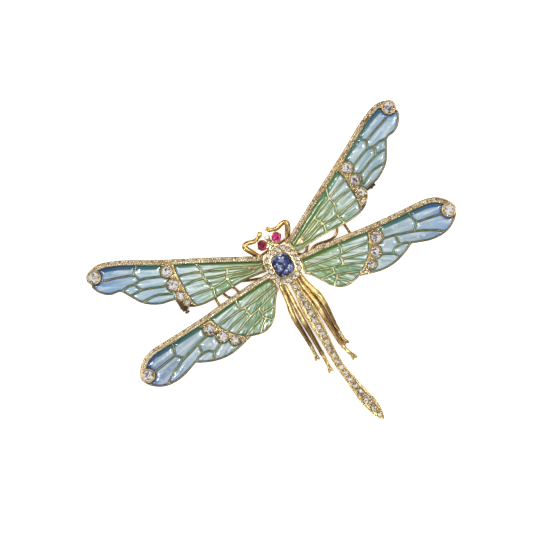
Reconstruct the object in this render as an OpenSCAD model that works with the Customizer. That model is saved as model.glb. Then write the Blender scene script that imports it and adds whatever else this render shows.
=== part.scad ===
// Dragonfly brooch in gold with enamel wings, lying on its back fittings.
// +X runs out to the right wings, +Y towards the head, +Z away from the wearer.
// The origin is on the surface, under the middle of the blue stone.

/* [Thorax] */
// Width of the blue stone
sapphire_w = 6.6; // [5.6:0.1:7.6]
// Length of the blue stone
sapphire_l = 7.6; // [6.6:0.1:8.6]
// Wall of the collet round the blue stone
collet_wall = 0.4; // [0.3:0.05:0.6]
// Diameter of each halo diamond
halo_d = 1.6; // [1.3:0.05:1.9]
// Gold left outside the halo diamonds
halo_edge = 0.2; // [0.15:0.05:0.5]
// Thickness of the thorax plate
thorax_t = 2.3; // [1.8:0.1:3]
// Height of the collet above the thorax plate
collet_h = 0.9; // [0.6:0.1:1.4]

/* [Head] */
// Diameter of each eye stone
eye_d = 3.1; // [2.6:0.1:3.5]
// Distance of each eye from the middle line
eye_x = 2.6; // [2.4:0.1:3]
// Distance of the eyes from the thorax
eye_ahead = 2.6; // [2.4:0.1:3.4]
// Thickness of the head
head_t = 2; // [1.6:0.1:2.6]

/* [Wings] */
// Forewing, from its root out to its tip stone
fore_reach = 50; // [44:1:56]
// Forewing, rise of the tip stone over the root
fore_rise = 25; // [22:1:28]
// Hindwing, how much further out than the forewing its tip stone lies
hind_further = 0; // [-4:0.5:4]
// Hindwing, drop of the tip stone under the root
hind_drop = 10; // [9:0.5:12]
// Turn of the left hindwing forwards and of the right one back
hind_turn = 1.2; // [0:0.1:2]
// Slope of the wings up towards their tips
wing_lift = 2; // [0:0.25:4]
// Height of the wing roots over the surface
wing_z = 3; // [2.8:0.1:4]
// Thickness of the wing frames
wing_t = 1.1; // [0.9:0.05:1.4]
// Width of the rim round each wing
rim_w = 0.5; // [0.4:0.05:0.7]
// Width of the veins
vein_w = 0.4; // [0.3:0.05:0.55]
// Width of the diamond rail along each leading edge
rail_w = 1.85; // [1.5:0.05:2.1]
// Height of the rail above the wing
rail_h = 0.35; // [0.2:0.05:0.6]
// Height of the gem band above the wing
band_h = 0.7; // [0.5:0.05:1]
// Thickness of the enamel
enamel_t = 0.8; // [0.5:0.05:0.9]
// Diameter of the tip diamonds
tip_d = 3.6; // [3:0.1:4]
// Wall of the tip collets
tip_wall = 0.6; // [0.45:0.05:0.8]
// Diameter of the largest diamond in each gem band
band_d = 3.4; // [3:0.1:3.7]

/* [Abdomen] */
// Length of the abdomen
tail_len = 53; // [46:1:60]
// Width of the abdomen at its widest
tail_w = 4.4; // [4:0.1:5]
// Sideways sweep of the abdomen's tip
tail_sweep = 3.25; // [0:0.25:5]
// Height of the abdomen's top where it starts
tail_top = 5; // [4.6:0.1:5.6]
// Height of the abdomen's top at its tip
tail_end_z = 1.7; // [1.4:0.1:2.4]
// Gold between two diamonds of the abdomen
tail_bridge = 0.65; // [0.5:0.05:1]

/* [Legs] */
// Length of the two outer hind legs
outer_leg = 27; // [24:0.5:29]
// Length of the two inner hind legs
inner_leg = 32.5; // [30:0.5:36]
// Distance of the hind feet from the middle line
leg_spread = 5; // [4.8:0.1:6]
// Radius of the hind legs at their thickest
leg_r = 0.84; // [0.6:0.02:0.88]
// Distance of the foreleg knees from the middle line
fore_knee_x = 8.1; // [7.9:0.1:9.5]
// Length of the forelegs along the body
foreleg_len = 7; // [6.8:0.1:8]
// Radius of the forelegs at their thickest
foreleg_r = 0.8; // [0.6:0.02:0.84]

/* [Pin] */
// Diameter of the pin stem
stem_d = 0.9; // [0.8:0.05:1]
// Diameter of the pin stem where it lies in the catch
stem_end_d = 0.76; // [0.7:0.02:0.8]
// Height of the pin stem over the surface
stem_z = 1.5; // [1.5:0.05:1.6]
// Diameter of the hinge rivet
rivet_d = 0.8; // [0.6:0.05:1]
// Width of the stem's knuckle
knuckle_w = 1.4; // [1:0.1:2]
// Thickness of each hinge ear
ear_t = 0.7; // [0.5:0.05:1]
// Length of the catch along the stem
catch_len = 2.2; // [1.8:0.1:3]
// Wall of the catch's ring
catch_wall = 0.42; // [0.3:0.02:0.44]
// Reach of the catch lever's thumb piece
thumb_reach = 2.5; // [2.2:0.1:3]
// Diameter of the bent wires between the wings
wire_d = 0.9; // [0.7:0.05:1]

/* [Hidden] */
// Gap between two soldered or set pieces
seat_gap = 0.05;
// Radial clearance of what turns
turn_gap = 0.05;
// Gap between the collet and the halo diamonds, and between two of these
halo_gap = 0.1;
halo_bridge = 0.18;
// Distance of the halo diamonds' middle line and of the plate's edge from the blue stone
halo_out = collet_wall + halo_gap + halo_d / 2;
thorax_out = collet_wall + halo_gap + halo_d + halo_edge;
thorax_w = sapphire_w + 2 * thorax_out;
thorax_l = sapphire_l + 2 * thorax_out;
// Underside and top of the thorax plate
thorax_z = wing_z + seat_gap;
thorax_top = thorax_z + thorax_t;
// Half the girdle and the depth of the blue stone, and the height it is set at
sapphire_girdle = 0.1;
sapphire_deep = 0.42 * sapphire_w;
sapphire_z = thorax_top + collet_h - 0.15;
// Shares of the blue stone's width left open at its back and of its pavilion's main steps
open_share = 0.86;
step_share = [0.82, 0.36];
// Reach of the hindwings, from the root out to the tip stone
hind_reach = fore_reach + hind_further;
// Roots of the forewings: in from the plate's side and back from its front
fore_root_side = 1.1;
fore_root_front = 4.4;
fore_root = [thorax_w / 2 - fore_root_side, thorax_l / 2 - fore_root_front];
// Roots of the hindwings: in from the plate's side and forwards from its back
hind_root_side = 0.6;
hind_root_back = 5.85;
hind_root = [thorax_w / 2 - hind_root_side, hind_root_back - thorax_l / 2];
// Height of a stone's parts as shares of its diameter
crown_share = 0.15;
pavilion_share = 0.42;
girdle_share = 0.03;
// Share of a round stone's diameter left open at its back
back_share = 0.34;
// Radius of the rounded corners of the enamel cells
cell_r = 0.3;
// Depth to which what stands on a plate runs into it
root_in = 0.3;
// Tongues that carry the wings: width, thickness, inner end from the middle line, reach past
// the thorax's edge, and distance from the roots of the forewings and of the hindwings
tongue_w = 2.8;
tongue_t = 0.8;
tongue_x = 1.6;
tongue_past = 1.2;
fore_tongue = 0.1;
hind_tongue = 1;
// Depth of the band diamonds' girdles under the band's top
band_sink = 0.12;
// Width of the neck, and length of its foot on the thorax
neck_w = 4;
neck_l = 0.6;
// Height left under the lowest parts, where the brooch touches the surface
rest_gap = 0.03;
// Facets of circles
$fn = 40;

// Tables of the forewing: distance out as a share of fore_reach, and
// height up as a share of fore_rise, both from the root.
FORE_LEAD = [[0.007, 0.175], [0.067, 0.24], [0.307, 0.498], [0.587, 0.788], [0.747, 0.968],
    [0.827, 1.05], [0.908, 1.109], [0.959, 1.119], [1.001, 1.102]];
FORE_TIP = [[1.042, 0.9], [1.024, 0.812], [0.99, 0.734], [0.95, 0.69], [0.91, 0.68], [0.888, 0.656]];
FORE_SKIRT = [[0.888, 0.656], [0.858, 0.548], [0.82, 0.424], [0.77, 0.336], [0.71, 0.272],
    [0.66, 0.25], [0.618, 0.232]];
FORE_HEEL = [[0.618, 0.232], [0.606, 0.172], [0.582, 0.1], [0.546, 0.044], [0.49, 0.004],
    [0.41, -0.012], [0.31, -0.004], [0.19, 0.002], [0.09, -0.02], [0.02, -0.04]];
FORE_VEINS = [
    [[0.956, 0.9], [0.87, 0.846], [0.81, 0.802], [0.778, 0.774], [0.762, 0.74], [0.756, 0.68]],
    [[0.778, 0.774], [0.756, 0.8], [0.734, 0.844], [0.722, 0.9]],
    [[0.756, 0.68], [0.71, 0.656], [0.67, 0.622], [0.61, 0.57]],
    [[0.888, 0.668], [0.84, 0.682], [0.798, 0.664], [0.756, 0.68]],
    [[0.796, 0.664], [0.788, 0.612], [0.774, 0.556]],
    [[0.856, 0.56], [0.78, 0.556], [0.71, 0.512], [0.65, 0.462], [0.615, 0.446]],
    [[0.814, 0.412], [0.75, 0.412], [0.69, 0.392], [0.615, 0.316]],
    [[0.394, 0.5], [0.382, 0.416], [0.382, 0.36], [0.392, 0.296], [0.384, 0.212], [0.372, 0.128],
        [0.378, 0.068], [0.388, -0.004]],
    [[0.234, 0.25], [0.246, 0.196], [0.266, 0.14], [0.262, 0.076], [0.256, 0.008]],
    [[0.02, 0.045], [0.06, 0.082], [0.11, 0.132], [0.19, 0.208], [0.25, 0.264], [0.31, 0.32], [0.382, 0.368],
        [0.43, 0.416], [0.53, 0.48]],
    [[0.065, 0.086], [0.13, 0.1], [0.246, 0.184], [0.31, 0.22], [0.39, 0.288], [0.46, 0.324],
        [0.54, 0.336]],
    [[0.045, 0.068], [0.09, 0.05], [0.15, 0.064], [0.22, 0.116], [0.266, 0.132], [0.32, 0.12], [0.374, 0.124],
        [0.45, 0.156], [0.54, 0.18]]];
// Inner edge of the gem band, from the rail to the trailing edge
FORE_BAND = [[0.512, 0.66], [0.528, 0.512], [0.532, 0.372], [0.534, 0.232], [0.528, 0.116], [0.512, 0]];
// Corner of the band at the rail, and its stones: out, up, share of band_d
FORE_CORNER = [0.598, 0.77];
FORE_STONES = [[0.574, 0.596, 1], [0.582, 0.408, 1], [0.578, 0.242, 0.76], [0.561, 0.128, 0.5]];

// Tables of the hindwing: distance out as a share of hind_reach, and
// distance down as a share of hind_drop, both from the root.
HIND_LEAD = [[0.004, -0.035], [0.1, -0.018], [0.302, 0.072], [0.502, 0.192], [0.701, 0.262],
    [0.862, 0.304], [0.923, 0.353], [0.974, 0.463], [1.018, 0.66], [1.043, 0.893]];
HIND_TIP = [[1.034, 1.185], [1, 1.375], [0.94, 1.545], [0.87, 1.6], [0.8, 1.56], [0.73, 1.445],
    [0.69, 1.37]];
HIND_SKIRT = [[0.69, 1.37], [0.62, 1.54], [0.54, 1.66], [0.46, 1.68], [0.38, 1.605], [0.33, 1.535],
    [0.296, 1.485]];
HIND_HEEL = [[0.296, 1.485], [0.25, 1.55], [0.2, 1.57], [0.15, 1.485], [0.1, 1.265],
    [0.06, 0.955], [0.024, 0.695], [-0.002, 0.585]];
HIND_VEINS = [
    [[0.946, 0.985], [0.88, 0.93], [0.82, 0.88], [0.784, 0.845]],
    [[0.784, 0.845], [0.772, 0.675], [0.762, 0.45]],
    [[0.784, 0.845], [0.764, 0.945], [0.74, 1.065]],
    [[0.912, 1.56], [0.872, 1.385], [0.8, 1.195], [0.74, 1.065], [0.66, 0.94], [0.612, 0.86],
        [0.54, 0.79]],
    [[0.69, 1.37], [0.66, 1.255], [0.62, 1.22], [0.58, 1.235], [0.552, 1.365]],
    [[0.552, 1.365], [0.526, 1.295], [0.485, 1.2]],
    [[0.552, 1.365], [0.572, 1.485], [0.584, 1.6]],
    [[0.62, 0.875], [0.622, 1.215]],
    [[0.274, 0.215], [0.278, 0.435], [0.264, 0.575]],
    [[0.01, 0.39], [0.1, 0.475], [0.18, 0.545], [0.264, 0.575], [0.34, 0.595], [0.46, 0.67]],
    [[0.246, 0.575], [0.246, 0.735], [0.24, 0.905]],
    [[0.246, 0.735], [0.32, 0.825], [0.42, 0.96]],
    [[0.01, 0.56], [0.09, 0.695], [0.17, 0.825], [0.24, 0.905], [0.3, 1.025], [0.38, 1.19]],
    [[0.17, 0.825], [0.168, 1.005], [0.17, 1.135]],
    [[0.05, 0.965], [0.12, 0.995], [0.168, 1.015]],
    [[0.17, 1.1], [0.24, 1.205], [0.335, 1.39]],
    [[0.11, 1.42], [0.152, 1.235], [0.17, 1.135]],
    [[0.158, 1.205], [0.2, 1.345], [0.24, 1.56]]];
HIND_BAND = [[0.474, 0.38], [0.464, 0.555], [0.447, 0.735], [0.427, 0.915], [0.402, 1.07],
    [0.374, 1.2], [0.342, 1.32], [0.312, 1.395], [0.29, 1.52]];
HIND_CORNER = [0.566, 0.42];
HIND_STONES = [[0.511, 0.65, 1], [0.459, 1.045, 0.95], [0.4, 1.33, 0.74], [0.348, 1.46, 0.42]];

// Abdomen: share of its length, middle as a share of tail_sweep, width as
// a share of tail_w, diamond as a share of the width
TAIL = [[0, 0, 0.6, 0.56], [0.08, 0, 0.66, 0.56], [0.16, 0.03, 0.93, 0.5], [0.21, 0, 0.98, 0.48],
    [0.27, -0.03, 0.91, 0.52], [0.38, -0.05, 0.76, 0.58], [0.46, -0.08, 0.66, 0.6],
    [0.54, -0.12, 0.62, 0.6], [0.61, -0.06, 0.62, 0.6], [0.68, 0.14, 0.72, 0.6],
    [0.76, 0.31, 0.84, 0.6], [0.84, 0.54, 1, 0.62], [0.87, 0.65, 1, 0.6], [0.91, 0.75, 0.9, 0.57],
    [0.95, 0.86, 0.7, 0.54], [0.98, 0.95, 0.38, 0.5], [1, 1, 0.08, 0.3]];
// Shares of the abdomen's length where its first and last diamonds lie
TAIL_STONES = [0.035, 0.968];

// Hind legs: share of the length, height as a share of wing_z, radius as a share of leg_r
LEG = [[0, 0.81, 0.58], [0.1, 0.82, 0.64], [0.18, 0.87, 0.78], [0.27, 0.93, 0.84], [0.33, 0.93, 1],
    [0.43, 0.87, 1], [0.58, 0.7, 0.82], [0.76, 0.42, 0.62], [0.79, 0.38, 0.78], [0.82, 0.34, 0.54],
    [0.85, 0.3, 0.72], [0.88, 0.26, 0.5], [0.91, 0.22, 0.66], [0.955, 0.17, 0.5]];
// Their distance from the middle line at the same shares, as shares of leg_spread
LEFT_OUTER = [0.82, 0.84, 0.88, 0.95, 1.03, 1.09, 1.06, 1.04, 1.04, 1.05, 1.06, 1.06, 1.07, 1.08];
LEFT_INNER = [0.56, 0.56, 0.58, 0.62, 0.64, 0.66, 0.66, 0.67, 0.67, 0.67, 0.67, 0.68, 0.69, 0.7];
RIGHT_OUTER = [0.64, 0.7, 0.78, 0.92, 1.02, 1.08, 1.05, 0.98, 0.98, 0.98, 0.99, 0.99, 1, 1];
RIGHT_INNER = [0.38, 0.42, 0.48, 0.59, 0.64, 0.66, 0.67, 0.7, 0.72, 0.74, 0.78, 0.82, 0.88, 0.98];
// Forelegs: out as a share of fore_knee_x, along as a share of foreleg_len,
// height as a share of wing_z, radius as a share of foreleg_r
FORELEG = [[0.56, 0.04, 0.86, 0.6], [0.68, 0.22, 0.86, 0.66], [0.78, 0.42, 0.99, 0.92],
    [0.9, 0.66, 1.13, 1], [0.97, 0.84, 1.2, 0.96], [0.91, 0.94, 1.2, 0.9], [0.78, 0.95, 1.17, 0.84],
    [0.64, 0.9, 1.13, 0.8], [0.51, 0.87, 1.1, 0.74], [0.4, 0.89, 1.1, 0.66], [0.31, 0.93, 1.1, 0.58],
    [0.24, 0.97, 1.1, 0.86], [0.19, 1.01, 1.1, 0.8]];
// Flatness of the forelegs, as a share of their width
foreleg_flat = 0.62;

// Hinge and catch on the forewings: out and up as in the forewing's tables
HINGE_AT = [0.65, 0.276];
CATCH_AT = [0.594, 0.104];
// Bent wires behind the wings: out and up as in the forewing's tables
LEFT_BRACE = [[0.392, -0.17], [0.392, -0.04], [0.385, 0.04], [0.355, 0.06], [0.334, 0.03],
    [0.326, -0.04], [0.31, -0.09], [0.29, -0.13]];
LEFT_STAY = [[0.238, -0.13], [0.247, -0.05], [0.258, 0.015], [0.24, 0.05], [0.205, 0.032],
    [0.15, -0.02], [0.09, -0.066], [0.045, -0.1]];
RIGHT_BRACE = [[0.385, -0.17], [0.382, -0.04], [0.376, 0.035], [0.352, 0.06], [0.334, 0.04],
    [0.328, -0.01], [0.31, -0.06], [0.284, -0.088], [0.246, -0.09], [0.206, -0.074], [0.164, -0.06],
    [0.13, -0.07], [0.1, -0.11]];
RIGHT_STAY = [[0.022, -0.02], [0.036, -0.052], [0.06, -0.08], [0.086, -0.06], [0.104, -0.02],
    [0.13, 0.025]];

// Smooth curve through points of any dimension, n steps to each stretch
function blend(a, b, c, d, t) = 0.5 * (2 * b + (c - a) * t + (2 * a - 5 * b + 4 * c - d) * t * t
    + (3 * b - a - 3 * c + d) * t * t * t);
function curve(p, n) = [
    for (i = [0 : len(p) - 2], k = [0 : n - 1])
        blend(p[max(i - 1, 0)], p[i], p[i + 1], p[min(i + 2, len(p) - 1)], k / n),
    p[len(p) - 1]];
function unit(v) = v / norm(v);
function along(c, i) = unit(c[min(i + 1, len(c) - 1)] - c[max(i - 1, 0)]);
function left_of(t) = [-t[1], t[0]];

// Closed outline of a strip of width w along a flat curve
function strip(c, w) = concat(
    [for (i = [0 : len(c) - 1]) c[i] + left_of(along(c, i)) * w / 2],
    [for (i = [len(c) - 1 : -1 : 0]) c[i] - left_of(along(c, i)) * w / 2]);

// Cushion outline, a square with swollen sides and round corners
function swell(v) = sign(v) * pow(abs(v), 0.68);
function cushion(w, l, n) = [for (i = [0 : n - 1])
    let (a = 360 * (i + 0.5) / n) [w / 2 * swell(cos(a)), l / 2 * swell(sin(a))]];

// Distances along a closed outline, and the point at one distance
function walk(c) = [for (i = 0, s = 0; i <= len(c);
    s = s + norm(c[(i + 1) % len(c)] - c[i % len(c)]), i = i + 1) s];
function stop_at(c, s) = let (w = walk(c))
    [for (axis = [0, 1]) lookup(s, [for (i = [0 : len(c)]) [w[i], c[i % len(c)][axis]]])];

// Solid through rings of equal length, each anticlockwise about the way it goes
module loft(rings) {
    n = len(rings[0]);
    m = len(rings);
    sides = [for (k = [0 : m - 2], i = [0 : n - 1])
        let (a = k * n + i, b = k * n + (i + 1) % n) each [[a, b + n, b], [a, a + n, b + n]]];
    first = [for (i = [0 : n - 1]) i];
    last = [for (i = [n - 1 : -1 : 0]) (m - 1) * n + i];
    polyhedron([for (r = rings) each r], concat([first], sides, [last]), convexity = 8);
}

// Round wire along a path, with its radius at each point, pressed flat by a share
module wire(path, radii, sides = 8, flat = 1) {
    loft([for (i = [0 : len(path) - 1])
        let (t = along(path, i), s = unit(cross([0, 0, 1], t)), u = cross(t, s))
        [for (k = [0 : sides - 1]) let (a = 360 * (k + 0.5) / sides)
            path[i] + radii[i] * (cos(a) * s + flat * sin(a) * u)]]);
}

module sided(side) {
    if (side < 0) mirror([1, 0, 0]) children();
    else children();
}

// Cut stones, each with its girdle at z = 0

function circle_points(count, r, z, turn) = [for (i = [0 : count - 1])
    let (a = 360 * i / count + turn) [r * cos(a), r * sin(a), z]];

// Round brilliant: table, 8 stars, 8 kites, 16 upper halves, girdle and pavilion
module brilliant(d) {
    g = girdle_share * d / 2;
    points = concat(
        circle_points(8, 0.29 * d, crown_share * d, 0),
        circle_points(8, 0.415 * d, 0.6 * crown_share * d, 22.5),
        circle_points(16, 0.5 * d, g, 0),
        circle_points(16, 0.5 * d, -g, 0),
        circle_points(8, 0.2 * d, -0.62 * pavilion_share * d, 22.5),
        [[0, 0, -pavilion_share * d]]);
    facets = concat(
        [[for (i = [0 : 7]) i]],
        [for (i = [0 : 7]) let (next = (i + 1) % 8, last = (i + 7) % 8,
            g0 = 16 + 2 * i, g1 = g0 + 1, g2 = 16 + 2 * next,
            b0 = g0 + 16, b1 = g1 + 16, b2 = g2 + 16) each [
            [i, 8 + i, next], [i, 8 + last, g0], [i, g0, 8 + i],
            [8 + i, g0, g1], [8 + i, g1, g2],
            [g0, b0, b1], [g0, b1, g1], [g1, b1, b2], [g1, b2, g2],
            [b0, 48 + i, b1], [b1, 48 + i, b2],
            [b0, 48 + last, 56], [b0, 56, 48 + i]]]);
    polyhedron(points, [for (f = facets) [for (k = [len(f) - 1 : -1 : 0]) f[k]]], convexity = 4);
}

// Small eight-sided stone: table, 8 crown facets, girdle and 8 pavilion facets
module single_cut(d) {
    g = girdle_share * d;
    loft([circle_points(8, 0.04 * d, -pavilion_share * d, 0), circle_points(8, d / 2, -g, 0),
        circle_points(8, d / 2, g, 0), circle_points(8, 0.3 * d, crown_share * d, 0)]);
}

function cushion_ring(w, l, z) = [for (p = cushion(w, l, 16)) [p[0], p[1], z]];

// Cushion-cut stone with two steps in its crown and three in its pavilion
module cushion_cut(w, l, crown, depth) {
    step = step_share[0];
    loft([cushion_ring(0.1 * w, 0.14 * l, -depth), cushion_ring(0.5 * w, 0.5 * l, -0.72 * depth),
        cushion_ring(step * w, step * l, -step_share[1] * depth),
        cushion_ring(w, l, -sapphire_girdle), cushion_ring(w, l, sapphire_girdle),
        cushion_ring(0.86 * w, 0.86 * l, 0.6 * crown), cushion_ring(0.6 * w, 0.6 * l, crown)]);
}

// Pocket that follows the blue stone's girdle and pavilion down to its open back
module cushion_seat(w, l, above) {
    wide = w + 2 * seat_gap;
    long = l + 2 * seat_gap;
    loft([cushion_ring(open_share * w, open_share * l, -step_share[1] * sapphire_deep),
        cushion_ring(wide, long, -sapphire_girdle - seat_gap), cushion_ring(wide, long, above)]);
}

// Seat cut for a round stone: its girdle, its pavilion and an open back
module seat(d, above, below) {
    wide = d + 2 * seat_gap;
    deep = pavilion_share * d + seat_gap;
    girdle = girdle_share * d + seat_gap;
    translate([0, 0, -girdle]) cylinder(d = wide, h = above + girdle);
    translate([0, 0, -deep]) cylinder(d1 = back_share * d, d2 = wide, h = deep - girdle + 0.001);
    translate([0, 0, -below]) cylinder(d = back_share * d, h = below);
}

// Wings

// Points of the tables in millimetres, kind being "fore" or "hind"
function fore_pt(p) = fore_root + [p[0] * fore_reach, p[1] * fore_rise];
function hind_pt(p) = hind_root + [p[0] * hind_reach, -p[1] * hind_drop];
function wing_pt(kind, p) = kind == "fore" ? fore_pt(p) : hind_pt(p);
function wing_curve(kind, table, n = 4) = curve([for (p = table) wing_pt(kind, p)], n);
function lead(kind) = wing_curve(kind, kind == "fore" ? FORE_LEAD : HIND_LEAD);
function trail(kind) = kind == "fore"
    ? [wing_curve(kind, FORE_TIP), wing_curve(kind, FORE_SKIRT), wing_curve(kind, FORE_HEEL)]
    : [wing_curve(kind, HIND_TIP), wing_curve(kind, HIND_SKIRT), wing_curve(kind, HIND_HEEL)];
function veins(kind) = [for (v = kind == "fore" ? FORE_VEINS : HIND_VEINS) wing_curve(kind, v, 2)];
function tip_at(kind) = wing_pt(kind, [1, 1]);
function stones(kind) = kind == "fore" ? FORE_STONES : HIND_STONES;
function stone_at(kind, i) = wing_pt(kind, stones(kind)[i]);
function stone_d(kind, i) = band_d * stones(kind)[i][2];

// Height of the stones' girdles over the wing's underside
tip_z = wing_t + band_h;
band_z = wing_t + band_h - band_sink;
// Step left all round what stands on the wing
step_in = 0.1;

// Shape of the whole wing seen from above, running in under the thorax's edge
module wing_outline(kind) {
    polygon(concat(lead(kind), [for (c = trail(kind)) each c]));
    translate(tip_at(kind)) circle(d = tip_d + 2 * tip_wall);
}

// Outline of the thorax plate, grown on all sides
module thorax_outline(grow) {
    polygon(cushion(thorax_w + 2 * grow, thorax_l + 2 * grow, 40));
}

module rail_area(kind) {
    intersection() {
        wing_outline(kind);
        polygon(strip(lead(kind), 2 * rail_w));
    }
}

module band_area(kind) {
    inner = wing_curve(kind, kind == "fore" ? FORE_BAND : HIND_BAND);
    corner = wing_pt(kind, kind == "fore" ? FORE_CORNER : HIND_CORNER);
    intersection() {
        wing_outline(kind);
        union() {
            polygon(concat([corner], inner, [for (i = [3 : -1 : 0]) stone_at(kind, i)]));
            for (i = [0 : 3])
                translate(stone_at(kind, i)) circle(d = stone_d(kind, i) + 2 * rim_w);
        }
    }
}

// Open cells of the wing, where the enamel lies
module cells(kind, shrink) {
    offset(r = cell_r - shrink, $fn = 16) offset(delta = -cell_r) difference() {
        offset(delta = -rim_w) wing_outline(kind);
        thorax_outline(seat_gap + rim_w);
        rail_area(kind);
        band_area(kind);
        translate(tip_at(kind)) circle(d = tip_d + 2 * tip_wall);
        for (v = veins(kind)) polygon(strip(v, vein_w));
    }
}

// Places a wing's piece, drawn for the right side, on the brooch
module on_wing(kind, side) {
    root = kind == "fore" ? fore_root : hind_root;
    turn = kind == "fore" ? 0 : -side * hind_turn;
    sided(side) translate([root[0], root[1], wing_z]) rotate([0, -wing_lift, 0])
        rotate([0, 0, turn]) translate([-root[0], -root[1], 0]) children();
}

// Tongue that carries the wing under the thorax, kept clear of the enamel
module tongue(kind) {
    low = kind == "fore" ? fore_root[1] + fore_tongue : hind_root[1] - hind_tongue - tongue_w;
    difference() {
        translate([tongue_x, low, -tongue_t])
            cube([thorax_w / 2 + tongue_past - tongue_x, tongue_w, tongue_t + root_in]);
        translate([0, 0, -seat_gap]) linear_extrude(1) cells(kind, 0);
    }
}

module wing_frame(kind, side) {
    tip = tip_at(kind);
    color("goldenrod") difference() {
        on_wing(kind, side) difference() {
            union() {
                linear_extrude(wing_t) difference() {
                    wing_outline(kind);
                    cells(kind, 0);
                }
                translate([0, 0, wing_t - root_in]) linear_extrude(rail_h + root_in)
                    offset(delta = -step_in) rail_area(kind);
                translate([0, 0, wing_t - root_in]) linear_extrude(band_h + root_in)
                    offset(delta = -step_in) band_area(kind);
                translate([tip[0], tip[1], wing_t - root_in])
                    cylinder(d = tip_d + 2 * (tip_wall - step_in), h = band_h + 2 * root_in);
                tongue(kind);
            }
            translate([tip[0], tip[1], tip_z]) seat(tip_d, 1, tip_z + 1);
            for (i = [0 : 3])
                translate([stone_at(kind, i)[0], stone_at(kind, i)[1], band_z])
                    seat(stone_d(kind, i), 1, band_z + 1);
        }
        translate([0, 0, wing_z]) linear_extrude(thorax_t) thorax_outline(seat_gap);
    }
}

module wing_enamel(kind, side) {
    color(kind == "fore" ? "lightseagreen" : "cadetblue") on_wing(kind, side)
        translate([0, 0, (wing_t - enamel_t) / 2]) linear_extrude(enamel_t) cells(kind, seat_gap);
}

module tip_diamond(kind, side) {
    color("white") on_wing(kind, side)
        translate([tip_at(kind)[0], tip_at(kind)[1], tip_z]) brilliant(tip_d);
}

module band_diamond(kind, side, number) {
    at = stone_at(kind, number - 1);
    color("white") on_wing(kind, side)
        translate([at[0], at[1], band_z]) brilliant(stone_d(kind, number - 1));
}

// Thorax

// Middle line of the halo, and the stones' places on it
halo_line = cushion(sapphire_w + 2 * halo_out, sapphire_l + 2 * halo_out, 40);
halo_length = walk(halo_line)[len(halo_line)];
halo_count = floor(halo_length / (halo_d + halo_bridge));

module at_halo() {
    for (k = [0 : halo_count - 1]) {
        p = stop_at(halo_line, halo_length * (k + 0.5) / halo_count);
        translate([p[0], p[1], thorax_top - 0.1]) children();
    }
}

module thorax() {
    wide = sapphire_w + 2 * collet_wall;
    long = sapphire_l + 2 * collet_wall;
    color("goldenrod") difference() {
        union() {
            translate([0, 0, thorax_z]) linear_extrude(thorax_t) thorax_outline(0);
            translate([0, 0, thorax_z + root_in]) linear_extrude(thorax_t + collet_h - root_in)
                polygon(cushion(wide, long, 40));
        }
        at_halo() seat(halo_d, 1, pavilion_share * halo_d + root_in);
        translate([0, 0, sapphire_z]) cushion_seat(sapphire_w, sapphire_l, 1);
        translate([0, 0, thorax_z - 1]) linear_extrude(thorax_t + collet_h + 2)
            polygon(cushion(open_share * sapphire_w, open_share * sapphire_l, 16));
    }
}

module sapphire() {
    color("midnightblue") translate([0, 0, sapphire_z])
        cushion_cut(sapphire_w, sapphire_l, 0.18 * sapphire_w, sapphire_deep);
}

module halo_diamonds() {
    color("white") at_halo() single_cut(halo_d);
}

// Head

eye_y = thorax_l / 2 + eye_ahead;
eye_z = thorax_z + head_t - 0.15;
cup_d = eye_d + 0.55;

module head() {
    front = eye_y + 0.5;
    neck_y = thorax_l / 2 + seat_gap;
    color("goldenrod") difference() {
        union() {
            hull() {
                translate([-neck_w / 2, neck_y, thorax_z + 0.1]) cube([neck_w, neck_l, head_t - 0.3]);
                translate([0, eye_y, thorax_z + 0.9]) sphere(0.8, $fn = 20);
            }
            hull() {
                translate([0, eye_y - 0.8, thorax_z + 1.1]) sphere(0.9, $fn = 20);
                translate([0, front, thorax_z + 0.8]) sphere(0.6, $fn = 20);
            }
            for (side = [-1, 1]) {
                translate([side * eye_x, eye_y, thorax_z]) cylinder(d = cup_d, h = head_t);
                wire(curve([[side * 0.25, front, thorax_z + 0.8],
                    [side * 0.75, front + 0.9, thorax_z + 0.7],
                    [side * 0.25, front + 1.7, thorax_z + 0.6]], 3),
                    [for (k = [0 : 6]) 0.3 - 0.02 * k], sides = 6);
            }
        }
        for (side = [-1, 1])
            translate([side * eye_x, eye_y, eye_z]) seat(eye_d, 1, head_t + 1);
    }
}

module eye(side) {
    color("crimson") translate([side * eye_x, eye_y, eye_z]) brilliant(eye_d);
}

module foreleg(side) {
    base_y = thorax_l / 2 - 1.05;
    rows = curve([for (r = FORELEG) [r[0] * fore_knee_x, base_y + r[1] * foreleg_len,
        r[2] * wing_z, r[3] * foreleg_r]], 2);
    path = [for (r = rows) [r[0], r[1], r[2]]];
    foot = path[len(path) - 1];
    color("goldenrod") sided(side) {
        wire(path, [for (r = rows) r[3]], flat = foreleg_flat);
        for (claw = [[-0.75, 0.3], [0.1, 0.85]])
            wire([foot + [0.12, -0.2, 0], foot + [0.5 * claw[0], 0.6 * claw[1], 0.1],
                foot + [claw[0], claw[1], 0]], [0.32, 0.34, 0.26], sides = 6);
    }
}

// Abdomen

function tail_row(s) = let (rows = curve(TAIL, 3))
    [for (column = [1, 2, 3]) lookup(s, [for (r = rows) [r[0], r[column]]])];
function tail_mid(s) = [tail_row(s)[0] * tail_sweep, -thorax_l / 2 - seat_gap - s * tail_len,
    tail_top + s * (tail_end_z - tail_top)];
function tail_width(s) = tail_row(s)[1] * tail_w;
function tail_stone(s) = tail_row(s)[2] * tail_width(s);
function tail_stops(s) = s > TAIL_STONES[1] ? []
    : concat([s], tail_stops(s + (tail_stone(s) + tail_bridge) / tail_len));

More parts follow.
